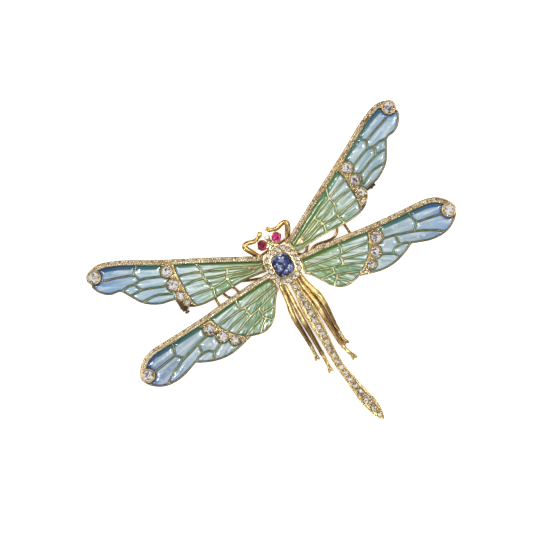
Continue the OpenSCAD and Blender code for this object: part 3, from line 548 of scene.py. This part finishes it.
def paneOutlines(node, toPlan):
    # The outline of each pane's top, in the wing's plane
    mesh = bmesh.new()
    mesh.from_mesh(nodes[node].data)
    bmesh.ops.remove_doubles(mesh, verts=mesh.verts, dist=shaping["merge"] * mm)
    after = {}
    for face in mesh.faces:
        if face.normal.z > enamel["topFacing"]:
            for loop in face.loops:
                other = loop.link_loop_radial_next
                if other == loop or other.face.normal.z <= enamel["topFacing"]:
                    after[loop.vert.index] = loop.link_loop_next.vert.index
    mesh.verts.ensure_lookup_table()
    outlines = []
    while after:
        start, at = next(iter(after.items()))
        line = [start]
        del after[start]
        while at != start:
            line.append(at)
            at = after.pop(at)
        outlines.append([(toPlan @ mesh.verts[k].co).xy for k in line])
    mesh.free()
    return outlines


def evenly(outline, longest):
    made = []
    for a, b in zip(outline, outline[1:] + outline[:1]):
        count = max(1, math.ceil((b - a).length / longest))
        made += [a.lerp(b, k / count) for k in range(count)]
    return made


def distances(points, outline):
    # Distance of each point from a closed outline
    a = np.array([tuple(p) for p in outline])
    b = np.roll(a, -1, axis=0)
    d = b - a
    p = np.array([tuple(q) for q in points])[:, None, :]
    t = np.clip(((p - a) * d).sum(2) / (d * d).sum(1), 0, 1)
    return np.sqrt(((a + t[..., None] * d - p) ** 2).sum(2)).min(1)


def isInside(points, outline):
    p = np.array([tuple(q) for q in points])
    inside = np.zeros(len(p), bool)
    for a, b in zip(outline, outline[1:] + outline[:1]):
        crosses = (a.y > p[:, 1]) != (b.y > p[:, 1])
        inside ^= crosses & (p[:, 0] < (b.x - a.x) * (p[:, 1] - a.y) / (b.y - a.y + 1e-12) + a.x)
    return inside


def triangulate(points, count):
    # The first count points are the border, and only what is inside it is filled
    found = geometry.delaunay_2d_cdt(points, [], [list(range(count))], 1, 1e-6)
    return found[0], [tuple(f) for f in found[2]]


def paneMesh(outline):
    # Points, triangles and edge distance of one pane's top, whose first points are its border
    border = evenly(outline, enamel["border"])
    count = len(border)
    normals = []
    for k in range(count):
        way = (border[(k + 1) % count] - border[k - 1]).normalized()
        normals.append(Vector((-way.y, way.x)))

    def kept(tried, clear):
        far, inside = distances(tried, outline), isInside(tried, outline)
        return [p for p, d, ok in zip(tried, far, inside) if ok and d > clear]

    inner = []
    for ring in enamel["rings"]:
        step = max(1, round(ring / enamel["ringStep"]))
        inner += kept([border[k] + normals[k] * ring for k in range(0, count, step)],
                      enamel["ringClear"] * ring)
    grid, row = enamel["grid"], enamel["grid"] * enamel["row"]
    lowX, highX = min(p.x for p in outline), max(p.x for p in outline)
    lowY, highY = min(p.y for p in outline), max(p.y for p in outline)
    inner += kept([Vector((lowX + (i + 0.5 * (j % 2)) * grid, lowY + j * row))
                   for j in range(int((highY - lowY) / row) + 2)
                   for i in range(int((highX - lowX) / grid) + 2)],
                  enamel["rings"][-1] + enamel["gridClear"] * grid)
    points, faces = triangulate(border + inner, count)
    edge = distances(points, outline)
    edge[:count] = 0
    return points, faces, edge, count, normals


wingPanes = {}


def buildEnamel(kind, side):
    name = wingName(kind, side)
    own = enamel["sides"][kind, side]
    toModel = wingMatrix(kind, side)
    toPlan = toModel.inverted()
    rail = leadCurve(kind, enamel["leadSteps"])
    finer = enamel["leadFiner"]
    railTree = treeOf([a.lerp(b, k / finer) for a, b in zip(rail, rail[1:]) for k in range(finer)])
    band = flatTriangles(name, toPlan, wing["thick"] + wing["bandUp"])
    bandTree = treeOf([p for t in band for p in evenly(t, enamel["bandStep"])])
    root = Vector(wingPlans[kind]["root"])
    tip = (toPlan @ middle(name + "_tip_diamond")).xy
    reach = (tip - root).length
    flowOut, flowAcross = enamel["flow"]
    points, faces, values = [], [], []
    outlines = paneOutlines(name + "_enamel", toPlan)
    if side < 0:
        outlines = [line[::-1] for line in outlines]
    wingPanes[name] = outlines
    for outline in outlines:
        top, tops, edge, count, normals = paneMesh(outline)
        crest = max(edge)
        tone = dice.uniform(-1, 1)
        start = len(points)
        for k, p in enumerate(top):
            spot = p - normals[k] * enamel["grow"] if k < count else p
            high = enamel["edge"] + enamel["dome"] * (1 - math.exp(-edge[k] / enamel["swell"]))
            points.append(Vector((*spot, high)))
            out = p - root
            along = out.length / reach
            narrow = (enamel["strip"] - own["strip"]) * between(along, *enamel["stripRoot"])
            shade = max(fall(bandTree.find((*p, 0))[2], enamel["bandShade"]),
                        fall((p - tip).length - enamel["tipRing"], enamel["tipShade"]))
            values.append({
                "along": along, "tone": tone, "edge": edge[k], "crest": edge[k] / crest,
                "strip": railTree.find((*p, 0))[2] - wing["railWide"] + narrow, "shade": shade,
                "out": out.length * flowOut + enamel["flowShift"] * tone,
                "across": math.atan2(out.y, out.x) * reach * flowAcross})
        faces += [tuple(start + k for k in f) for f in tops]
        under = len(points)
        for k in range(count):
            points.append(Vector((*(top[k] - normals[k] * enamel["grow"]), enamel["low"])))
            values.append({**values[start + k], "edge": enamel["underEdge"]})
        faces += [tuple(under + k for k in reversed(f)) for f in triangulate(top[:count], count)[1]]
        for k in range(count):
            after = (k + 1) % count
            faces.append((start + after, start + k, under + k, under + after))
    if side < 0:
        faces = [f[::-1] for f in faces]
    piece = newPiece(name + "_panes", [toModel @ p for p in points], faces)
    pales, deeps = [], []
    for value in values:
        # The trailing side near the root is the greenest
        trailing = enamel["leafMost"] * between(value["strip"], *enamel["leafAcross"])
        leafy = between(value["along"], *enamel["leafAlong"]) * max(trailing, own["green"])
        at = value["along"] * own["early"]
        colour = linear(*blend(tableColour(enamel[kind], at), enamel["leaf"], leafy))
        # Each wing's lightness and its deep tones' lightness are painted light, and each pane's own
        # tone differs at random
        bright = enamel["light"] * own["light"] * (1 + enamel["paneLight"] * value["tone"])
        pales.append(tuple(min(c * bright, 1) for c in colour))
        deeps.append(tuple(c * own["deep"] for c in linear(*tableColour(enamel["deep"], at))))
        # How strong the painted highlight and shade streaks are along the wing
        near, far = enamel["streaks"]
        value["streak"] = near + (far - near) * between(value["along"], *enamel["streakAlong"])
    paint(piece, "pale", pales)
    paint(piece, "deep", deeps)
    for key in ("strip", "edge", "crest", "shade", "out", "across", "streak"):
        paint(piece, key, [value[key] for value in values])
    smoothShade(piece, enamel["shade"])
    return piece


# Each row of four is a range that is read and the amounts that it gives
enamelLook = {
    "grain": 420, "detail": 3.0, "flecks": (0.5, 0.8, 0, 0.3),
    # Streaks of painted shade and painted highlight, and painted highlights on each pane's crest
    "streakShade": (0.37, 0.49, 0.68, 0),
    "streakHighlight": (0.53, 0.6, 0, 0.95), "highlightTone": (0.95, 0.97, 0.95),
    "crest": (0.35, 0.95, 0, 1), "crestHighlightCloud": (0.52, 0.66, 0, 0.7),
    "crestHighlightTone": (0.92, 0.95, 0.94),
    # Painted shade in the strip by the rail, beside the band and tip collet, and at each pane's rim
    "strip": (enamel["strip"] - 0.3, enamel["strip"] + 0.2, 0.94, 0), "shade": (0, 1, 0, 0.92),
    "rim": (0.03, 0.36, 0.9, 0),
    "shader": {"Roughness": 0.16, "IOR": 1.52, "Transmission Weight": 0.2, "Coat Weight": 0.7,
               "Coat Roughness": 0.08},
    "bump": 0.6, "bumpDepth": 0.12,
}


def enamelMaterial():
    material, tree = newMaterial("wingEnamel")
    look = enamelLook
    grain = addNode(tree, "Group", node_tree=grainGroup, Scale=look["grain"])

    def read(name, output="Fac"):
        return addNode(tree, "Attribute", attribute_name=name).outputs[output]

    def amount(name, source):
        return mapped(tree, source, *look[name], True)

    def times(a, b):
        return combined(tree, "MULTIPLY", a, b)

    flow = addNode(tree, "CombineXYZ", X=read("out"), Y=read("across"))
    brush = addNode(tree, "TexNoise", Vector=flow.outputs[0], Scale=1.0, Detail=look["detail"])
    stroke, strength, deep = brush.outputs["Fac"], read("streak"), read("deep", "Color")
    colour = mixColour(tree, read("pale", "Color"), deep,
                       mapped(tree, grain.outputs["Fine"], *look["flecks"]))
    # Painted shade and painted highlight in streaks along the wing, and painted highlights on each
    # pane's crest
    colour = mixColour(tree, colour, deep, times(amount("streakShade", stroke), strength))
    colour = mixColour(tree, colour, look["highlightTone"], times(amount("streakHighlight", stroke), strength))
    colour = mixColour(tree, colour, look["crestHighlightTone"],
                       times(amount("crest", read("crest")),
                             amount("crestHighlightCloud", grain.outputs["Cloud"])))
    # Painted shade: the strip by the rail, beside the band and tip collet, and at each pane's rim
    colour = mixColour(tree, colour, deep, amount("strip", read("strip")))
    colour = mixColour(tree, colour, deep, mapped(tree, read("shade"), *look["shade"]))
    colour = mixColour(tree, colour, deep, amount("rim", read("edge")))
    relief = addNode(tree, "Bump", Strength=look["bump"], Distance=look["bumpDepth"] * mm,
                     Height=grain.outputs["Cloud"])
    normal = relief.outputs["Normal"]
    dressShader(tree, {"Base Color": colour, "Normal": normal, "Coat Normal": normal,
                       **look["shader"]})
    return material


wingEnamel = enamelMaterial()
for kind, side in wings:
    panes = buildEnamel(kind, side)
    finishPiece(panes, wingEnamel, "brooch", "enamel", wingName(kind, side) + "_enamel")
print("enamel panes made")


# Wing frames: soft edges, and a tone for threads, rim, rail and band, with painted shade and
# highlights

frameLook = {
    "bevel": 0.07,
    # The step between a pane's edge points, how near a thread's two panes are, and the least
    # height above the wing's face that is rail or band
    "sampleStep": 0.25, "threadNear": 0.68, "raised": 0.06,
    # Where tones change along the wing, as shares of its reach
    "rootEnds": (0.06, 0.185), "outerStarts": (0.35, 0.6),
    # The sides of threads and rims take painted shade, darker than their lit top faces
    "lit": (-0.05, -0.005),  # from the dark side of a thread or rim to its bright face
    # The rail's tone on each wing; the right forewing's darker copy is painted shade
    "rail": {("fore", -1): (0.6, 0.44, 0.21), ("fore", 1): (0.34, 0.23, 0.11),
             ("hind", -1): (0.6, 0.44, 0.21), ("hind", 1): (0.62, 0.46, 0.23)},
    "band": (0.56, 0.39, 0.17),
    # The rim's tone outwards, darker on the right forewing as painted shade; at its inner edge, a
    # painted highlight; and near the right wings' roots, a painted highlight
    "rim": {("fore", -1): (0.15, 0.1, 0.045), ("fore", 1): (0.06, 0.04, 0.02),
            ("hind", -1): (0.15, 0.1, 0.045), ("hind", 1): (0.13, 0.09, 0.04)},
    "rimInsideHighlight": (0.5, 0.41, 0.21), "rimFade": (0, 0.2),
    "rimHighlight": (0.62, 0.5, 0.28), "rimSideShade": (0.07, 0.05, 0.03),
    "innerThread": (0.62, 0.56, 0.31), "innerSideShade": (0.05, 0.11, 0.03),
    "rootThread": (0.5, 0.45, 0.2),
    "outerThread": (0.23, 0.235, 0.11), "outerSideShade": (0.035, 0.075, 0.045),
    "under": (0.62, 0.44, 0.18),
}


def tintFrame(piece, kind, side):
    look = frameLook
    name = wingName(kind, side)
    toPlan = wingMatrix(kind, side).inverted()
    plan = wingPlans[kind]
    samples = [(p, number) for number, line in enumerate(wingPanes[name])
               for p in evenly(line, look["sampleStep"])]
    tree = treeOf([p for p, _ in samples])
    root = Vector(plan["root"])
    face = wing["thick"]
    tones = []
    for vertex in piece.data.vertices:
        p = toPlan @ vertex.co
        flat = (p.x, p.y, 0)
        near = {samples[found[1]][1] for found in tree.find_range(flat, look["threadNear"])}
        along = (p.xy - root).length / plan["reach"]
        outer = between(along, *look["outerStarts"])
        # Painted shade on the sides, rising to the lit top face
        lit = between(p.z - face, *look["lit"])
        if p.z >= face + wing["railUp"] + look["raised"]:
            colour = look["band"]
        elif p.z > face + look["raised"]:
            colour = look["rail"][kind, side]
        elif p.z < face / 2:
            colour = look["under"]
        elif len(near) > 1:
            inner = blend(look["rootThread"], look["innerThread"],
                          between(along, *look["rootEnds"]))
            colour = blend(blend(look["innerSideShade"], look["outerSideShade"], outer),
                           blend(inner, look["outerThread"], outer), lit)
        else:
            # A painted highlight along the rim's inner edge, and near the right wings' roots
            away = between(tree.find(flat)[2], *look["rimFade"])
            rim = blend(look["rimInsideHighlight"], look["rim"][kind, side], away)
            if side > 0:
                rim = blend(look["rimHighlight"], rim, outer)
            colour = blend(look["rimSideShade"], rim, lit)
        tones.append(colour)
    paint(piece, "tint", tones)


for kind, side in wings:
    name = wingName(kind, side)
    piece = softened(name, name + "_gold", frameLook["bevel"])
    tintFrame(piece, kind, side)
    finishPiece(piece, gold["wing"], "brooch", "gold", name)
print("wing frames made")


# Small set stones and beads that repeat, modelled 1 mm wide and as a ball of 1 mm radius

smallStone = {
    "sides": 8, "girdle": 0.06, "facing": 0.9,
    # Up or down, the flat's share of the width, and how far it rises
    "flats": ((1, 0.56, 0.16), (-1, 0.1, -0.36)),
}
smallBead = {"segments": 7, "rings": 4, "shade": 80}


def stoneSeed(name):
    bpy.ops.object.select_all(action="DESELECT")
    bpy.ops.mesh.primitive_cylinder_add(vertices=smallStone["sides"], radius=0.5 * mm,
                                        depth=smallStone["girdle"] * mm)
    seed = bpy.context.object
    seed.name = name
    bpy.ops.object.mode_set(mode="EDIT")
    bpy.ops.mesh.select_mode(type="FACE")
    for up, share, rise in smallStone["flats"]:
        bpy.ops.mesh.select_all(action="DESELECT")
        work = bmesh.from_edit_mesh(seed.data)
        for face in work.faces:
            face.select_set(face.normal.z * up > smallStone["facing"])
        bmesh.update_edit_mesh(seed.data)
        bpy.ops.mesh.extrude_region_move(TRANSFORM_OT_translate={"value": (0, 0, rise * mm)})
        bpy.ops.transform.resize(value=(share, share, 1))
    bpy.ops.object.mode_set(mode="OBJECT")
    return seed


def beadSeed(name):
    bpy.ops.object.select_all(action="DESELECT")
    bpy.ops.mesh.primitive_uv_sphere_add(segments=smallBead["segments"],
                                         ring_count=smallBead["rings"], radius=mm)
    seed = bpy.context.object
    seed.name = name
    return seed


railStone = stoneSeed("railStoneSeed")
bead = beadSeed("beadSeed")


def placed(matrix, spot, size, tilt=0.0):
    turn = Matrix.Rotation(dice.uniform(0, math.pi / 4), 4, "Z")
    leanX = Matrix.Rotation(math.radians(dice.uniform(-tilt, tilt)), 4, "X")
    leanY = Matrix.Rotation(math.radians(dice.uniform(-tilt, tilt)), 4, "Y")
    # The seeds are in metres, and the wing's plane is in millimetres
    return matrix @ Matrix.Translation(spot) @ turn @ leanX @ leanY @ Matrix.Scale(size / mm, 4)


def beadPiece(name, places):
    piece = scattered(bead, places, name)
    smoothShade(piece, smallBead["shade"])
    return finishPiece(piece, gold["bead"], "brooch", "gold")


# Rails: two rows of stones, and lines of fine beads, by their distance from the leading edge

railSet = {
    "stone": 0.62, "pitch": 0.74, "rows": (0.54, 1.25), "stoneUp": 0.02, "leadSteps": 10,
    "bead": 0.12, "beads": (0.17, 0.9, 1.66),
    # The look of the outer and the inner row, the left wings' inner row taking a lit copy of the
    # pave, and how far their stones lean, in degrees
    "looks": {("fore", -1): ("pave", "litPave", 8), ("fore", 1): ("pave", "pave", 24),
              ("hind", -1): ("pave", "litPave", 8), ("hind", 1): ("pave", "pave", 14)},
}


def buildRail(kind, side):
    name = wingName(kind, side)
    plan = wingPlans[kind]
    matrix = wingMatrix(kind, side)
    line = leadCurve(kind, railSet["leadSteps"])
    top = wing["thick"] + wing["railUp"]
    pitch = railSet["pitch"]
    first, last = plan["railEnds"]

    def inFrom(way):
        across = Vector((way.y, -way.x))
        return across if across.dot(Vector(plan["inward"])) > 0 else -across

    *looks, lean = railSet["looks"][kind, side]
    for row, inset in enumerate(railSet["rows"]):
        stones = [placed(matrix, (*(spot + inFrom(way) * inset), top + railSet["stoneUp"]),
                         railSet["stone"], lean)
                  for spot, way in walkLine(line, pitch, first + row * pitch / 2, last)]
        finishPiece(scattered(railStone, stones, f"{name}_rail_stones_{row}"),
                    stone[looks[row]], "brooch", "diamond")
    beadPiece(name + "_rail_beads",
              [placed(matrix, (*(spot + inFrom(way) * inset), top), railSet["bead"])
               for inset in railSet["beads"]
               for spot, way in walkLine(line, pitch / 2, first + pitch / 4, last)])


for kind, side in wings:
    buildRail(kind, side)
print("rails set")


# Gem bands: a ring of grains and four claws round each stone, and a field of grains between them

bandSet = {
    "collar": 0.22, "collarPitch": 0.5, "collarOut": 0.7, "collarClear": 0.05,
    "prong": 0.3, "prongShare": 0.4, "prongIn": 0.02, "prongUp": 0.12, "prongs": 4,
    "grain": 0.25, "grainSizes": (0.7, 1.1), "grainPitch": 0.52, "grainShift": 0.08,
    "grainDown": 0.02, "tipClear": 1.0, "gemClear": 0.36,
}


def roundSpot(at, radius, angle):
    return at + Vector((math.cos(angle), math.sin(angle))) * radius


def buildBand(kind, side):
    name = wingName(kind, side)
    matrix = wingMatrix(kind, side)
    toPlan = matrix.inverted()
    top = wing["thick"] + wing["bandUp"]
    gems = []
    for part in ("_diamond_1", "_diamond_2", "_diamond_3", "_diamond_4", "_tip_diamond"):
        low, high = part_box(name + part)
        gems.append(((toPlan @ middle(name + part)).xy, (high.y - low.y) / 2 / mm))
    bandGems, (tip, tipRadius) = gems[:-1], gems[-1]
    beads = []
    for at, radius in gems:
        around = radius + bandSet["collar"] * bandSet["collarOut"]
        count = round(2 * math.pi * around / bandSet["collarPitch"])
        for k in range(count):
            spot = roundSpot(at, around, 2 * math.pi * k / count)
            if all((spot - other).length > size + bandSet["collarClear"]
                   for other, size in bandGems if other != at):
                beads.append(placed(matrix, (*spot, top), bandSet["collar"]))
        for k in range(bandSet["prongs"]):
            spot = roundSpot(at, radius - bandSet["prongIn"],
                             2 * math.pi * (k + 0.5) / bandSet["prongs"])
            beads.append(placed(matrix, (*spot, top + bandSet["prongUp"]),
                                min(bandSet["prong"], bandSet["prongShare"] * radius)))
    triangles = flatTriangles(name, toPlan, top)
    pitch, shift = bandSet["grainPitch"], bandSet["grainShift"]
    xs = [p.x for t in triangles for p in t]
    ys = [p.y for t in triangles for p in t]
    lowX, lowY = min(xs), min(ys)
    for j in range(int((max(ys) - lowY) / pitch) + 1):
        for i in range(int((max(xs) - lowX) / pitch) + 1):
            spot = Vector((lowX + (i + 0.5 * (j % 2)) * pitch + dice.uniform(-shift, shift),
                           lowY + j * pitch + dice.uniform(-shift, shift)))
            if (spot - tip).length < tipRadius + bandSet["tipClear"]:
                continue
            if any((spot - at).length < radius + bandSet["gemClear"] for at, radius in bandGems):
                continue
            if any(geometry.intersect_point_tri_2d(spot, *t) for t in triangles):
                beads.append(placed(matrix, (*spot, top - bandSet["grainDown"]),
                                    bandSet["grain"] * dice.uniform(*bandSet["grainSizes"])))
    beadPiece(name + "_band_grains", beads)


for kind, side in wings:
    buildBand(kind, side)
print("gem bands set")


# Body: grains between the stones of the halo and down the abdomen

bodySet = {
    "merge": 0.002,
    "halo": 0.27, "haloOut": 0.62, "haloDown": 0.14,
    "edge": 0.13, "edgePitch": 0.42, "edgeEnds": (0.3, 0.5),
    "tail": 0.26, "tailOut": 0.34, "tailDown": 0.16, "tailLess": 0.3,
    # Small grains between two stones: shares of the way out, and millimetres forwards
    "gap": 0.2, "gapSpots": ((-0.5, 0.14), (0.5, 0.14), (0, -0.16)),
    # The top corners of a raised edge of the tail, and how level they are
    "edgeCorners": 2, "edgeLevel": 0.01,
}


def looseMiddles(node):
    # Middle, half width and top of each loose stone
    mesh = bmesh.new()
    mesh.from_mesh(nodes[node].data)
    bmesh.ops.remove_doubles(mesh, verts=mesh.verts, dist=bodySet["merge"] * mm)
    left = set(mesh.verts)
    found = []
    while left:
        heap, group = [left.pop()], []
        while heap:
            vert = heap.pop()
            group.append(vert.co.copy())
            for edge in vert.link_edges:
                other = edge.other_vert(vert)
                if other in left:
                    left.remove(other)
                    heap.append(other)
        low = Vector([min(p[k] for p in group) for k in range(3)])
        high = Vector([max(p[k] for p in group) for k in range(3)])
        found.append(((low + high) / 2 / mm, (high.x - low.x) / 2 / mm, high.z / mm))
    mesh.free()
    return found


bodyMatrix = Matrix.Scale(mm, 4)
gem = middle("sapphire") / mm
halo = sorted(looseMiddles("halo_diamonds"),
              key=lambda found: math.atan2(found[0].y - gem.y, found[0].x - gem.x))
grains = []
for (first, _, top), (second, _, _) in zip(halo, halo[1:] + halo[:1]):
    mid = ((first + second) / 2).xy
    spot = mid + (mid - gem.xy).normalized() * bodySet["haloOut"]
    grains.append(placed(bodyMatrix, (*spot, top - bodySet["haloDown"]), bodySet["halo"]))
beadPiece("halo_grains", grains)


def tailEdges():
    # The two raised edges of the abdomen, from its cross-sections
    rings = {}
    for vertex in nodes["abdomen"].data.vertices:
        rings.setdefault(round(vertex.co.y / mm, 1), []).append(vertex.co / mm)
    edges = []
    for spots in rings.values():
        top = max(p.z for p in spots)
        high = sorted({round(p.x, 3) for p in spots if p.z > top - bodySet["edgeLevel"]})
        corners = bodySet["edgeCorners"]
        if len(high) == 2 * corners:
            edges.append([Vector((sum(side) / corners, spots[0].y, top))
                          for side in (high[:corners], high[corners:])])
    edges.sort(key=lambda pair: -pair[0].y)
    return zip(*edges)


grains = []
for line in tailEdges():
    for spot, _ in walkLine(line, bodySet["edgePitch"], *bodySet["edgeEnds"]):
        grains.append(placed(bodyMatrix, spot, bodySet["edge"]))
tailStones = sorted(looseMiddles("abdomen_diamonds"), key=lambda found: -found[0].y)
for (first, size, top), (second, nextSize, _) in zip(tailStones, tailStones[1:]):
    mid = (first + second) / 2
    reach = (size + nextSize) * bodySet["tailOut"]
    high = top - bodySet["tailDown"]
    for way in (-reach, reach):
        grains.append(placed(bodyMatrix, (mid.x + way, mid.y, high),
                             bodySet["tail"] * min(1, size + bodySet["tailLess"])))
    for way, ahead in bodySet["gapSpots"]:
        grains.append(placed(bodyMatrix, (mid.x + way * reach, mid.y + ahead, high),
                             bodySet["gap"]))
beadPiece("tail_grains", grains)
print("body grains set")


# Stones that stay as the frame has them, and the body's metal

for name in nodes:
    if "diamond" in name:
        dress(nodes[name], stone["diamond" if "wing" in name else "halo"])
dress(nodes["sapphire"], stone["sapphire"])
dress(nodes["eye_left"], stone["darkRuby"])
dress(nodes["eye_right"], stone["ruby"])

# Each node's copy, the width of its soft edges, its gold, its body and its slot
softPieces = {
    "thorax": ("thorax_gold", 0.06, "bright", "brooch", "gold"),
    "head": ("head_gold", 0.06, "bright", "brooch", "gold"),
    "pin_hinge": ("hinge_gold", 0.07, "hinge", "brooch", "dark_gold"),
    "catch": ("catch_gold", 0.05, "fitting", "brooch", "dark_gold"),
    "pin_stem": ("stem_gold", 0.04, "wire", "stem", "dark_gold"),
    "catch_lever": ("lever_gold", 0.05, "fitting", "lever", "dark_gold"),
}
for node, (name, width, look, body, slot) in softPieces.items():
    finishPiece(softened(node, name, width), gold[look], body, slot, node)

# Each node's copy, how far it grows back, its gold and its slot
roundPieces = {
    "abdomen": ("abdomen_gold", 0.03, "tail", "gold"),
    "foreleg_left": ("foreleg_gold_left", 0.22, "foreleg", "gold"),
    "wing_brace_left": ("wing_brace_gold_left", 0.05, "wire", "dark_gold"),
    "wing_stay_left": ("wing_stay_gold_left", 0.05, "wire", "dark_gold"),
    "foreleg_right": ("foreleg_gold_right", 0.22, "foreleg", "gold"),
    "wing_brace_right": ("wing_brace_gold_right", 0.05, "wire", "dark_gold"),
    "wing_stay_right": ("wing_stay_gold_right", 0.05, "wire", "dark_gold"),
}
for node, (name, grow, look, slot) in roundPieces.items():
    finishPiece(rounded(node, name, grow), gold[look], "brooch", slot, node)

# The hind legs' growth, thicker thighs, and tones, by shares of the way down
hindLeg = {
    "grow": {"left": 0.19, "right": 0.26},
    "thigh": {"left": 0.02, "right": 0.15}, "thighStarts": (0, 0.125), "thighEnds": (0.45, 0.325),
    "femur": (0.95, 0.7, 0.3), "foot": (0.95, 0.74, 0.36),
    "tibia": {"left": (0.24, 0.145, 0.055), "right": (0.42, 0.26, 0.1)},
    "knee": (0.42, 0.5033), "ankle": (0.78, 0.8467),
}


def dressLeg(piece, side):
    ys = [v.co.y for v in piece.data.vertices]
    top, low = max(ys), min(ys)
    tones = []
    for vertex in piece.data.vertices:
        down = between(vertex.co.y, top, low)
        out = Vector((*vertex.normal.xy, 0)) * hindLeg["thigh"][side] * mm
        vertex.co += (out * between(down, *hindLeg["thighStarts"])
                      * between(down, *hindLeg["thighEnds"]))
        colour = blend(hindLeg["femur"], hindLeg["tibia"][side], between(down, *hindLeg["knee"]))
        tones.append(blend(colour, hindLeg["foot"], between(down, *hindLeg["ankle"])))
    paint(piece, "tint", tones)


for name in ("left_outer", "left_inner", "right_outer", "right_inner"):
    side = name.split("_")[0]
    piece = rounded("hind_leg_" + name, "hind_leg_gold_" + name, hindLeg["grow"][side])
    dressLeg(piece, side)
    finishPiece(piece, gold["leg"], "brooch", "gold", "hind_leg_" + name)
print("body dressed")


# Floor, light and camera

studio = {
    "floor": 6.0, "floorTones": ((0.93, 0.93, 0.93), (0.97, 0.97, 0.965)), "floorGrain": 90.0,
    "floorRough": 0.8, "floorLight": 0.64, "air": (0.95, 0.97, 1.0), "airLight": 0.27,
    "lamps": [
        # place in metres, size in metres, watts
        ((-0.5, 0.7, 0.9), 0.16, 2.6),
        ((0.65, 0.45, 0.8), 0.14, 2.0),
        ((-0.75, -0.35, 0.7), 0.12, 1.6),
        ((0.45, -0.75, 0.8), 0.12, 1.6),
        ((-0.28, 0.3, 1.3), 0.22, 3.7),
        ((0.38, -0.12, 1.3), 0.2, 3.8),
    ],
}


def buildFloor():
    bpy.ops.object.select_all(action="DESELECT")
    bpy.ops.mesh.primitive_plane_add(size=studio["floor"])
    floor = bpy.context.object
    floor.name = "floor"
    material, tree = newMaterial("palePaper")
    place = addNode(tree, "TexCoord").outputs["Object"]
    noise = addNode(tree, "TexNoise", Vector=place, Scale=studio["floorGrain"])
    dressShader(tree, {
        "Base Color": mixColour(tree, *studio["floorTones"], noise.outputs["Fac"]),
        "Roughness": studio["floorRough"], "Emission Color": (1, 1, 1, 1),
        "Emission Strength": studio["floorLight"]})
    floor.data.materials.append(material)


buildFloor()

world = bpy.data.worlds.new("studioAir")
bpy.context.scene.world = world
world.use_nodes = True
world.node_tree.nodes["Background"].inputs["Color"].default_value = (*studio["air"], 1)
world.node_tree.nodes["Background"].inputs["Strength"].default_value = studio["airLight"]

for number, (place, size, watts) in enumerate(studio["lamps"]):
    lamp = bpy.data.lights.new(f"softLamp{number}", "AREA")
    lamp.shape = "DISK"
    lamp.size = size
    lamp.energy = watts
    holder = newObject(lamp.name, lamp)
    holder.location = place
    holder.rotation_euler = (-Vector(place)).to_track_quat("-Z", "Y").to_euler()

# What the camera sees, in millimetres: the picture's middle, its width, and the height it is at
view = {"centre": (-4.80, 2.18), "height": 4.5, "turn": -30, "width": 170.56,
        "lens": 200, "sensor": 36, "clip": 20}
lens = bpy.data.cameras.new("camera")
lens.lens = view["lens"]
lens.sensor_width = view["sensor"]
lens.clip_end = view["clip"]
camera = newObject("camera", lens)
away = view["width"] * view["lens"] / view["sensor"]
camera.location = Vector((*view["centre"], view["height"] + away)) * mm
camera.rotation_euler = (0, 0, math.radians(view["turn"]))
bpy.context.scene.camera = camera
bpy.context.scene.view_settings.view_transform = "Standard"

for seed in (railStone, bead):
    bpy.data.objects.remove(seed)

print("scene done")
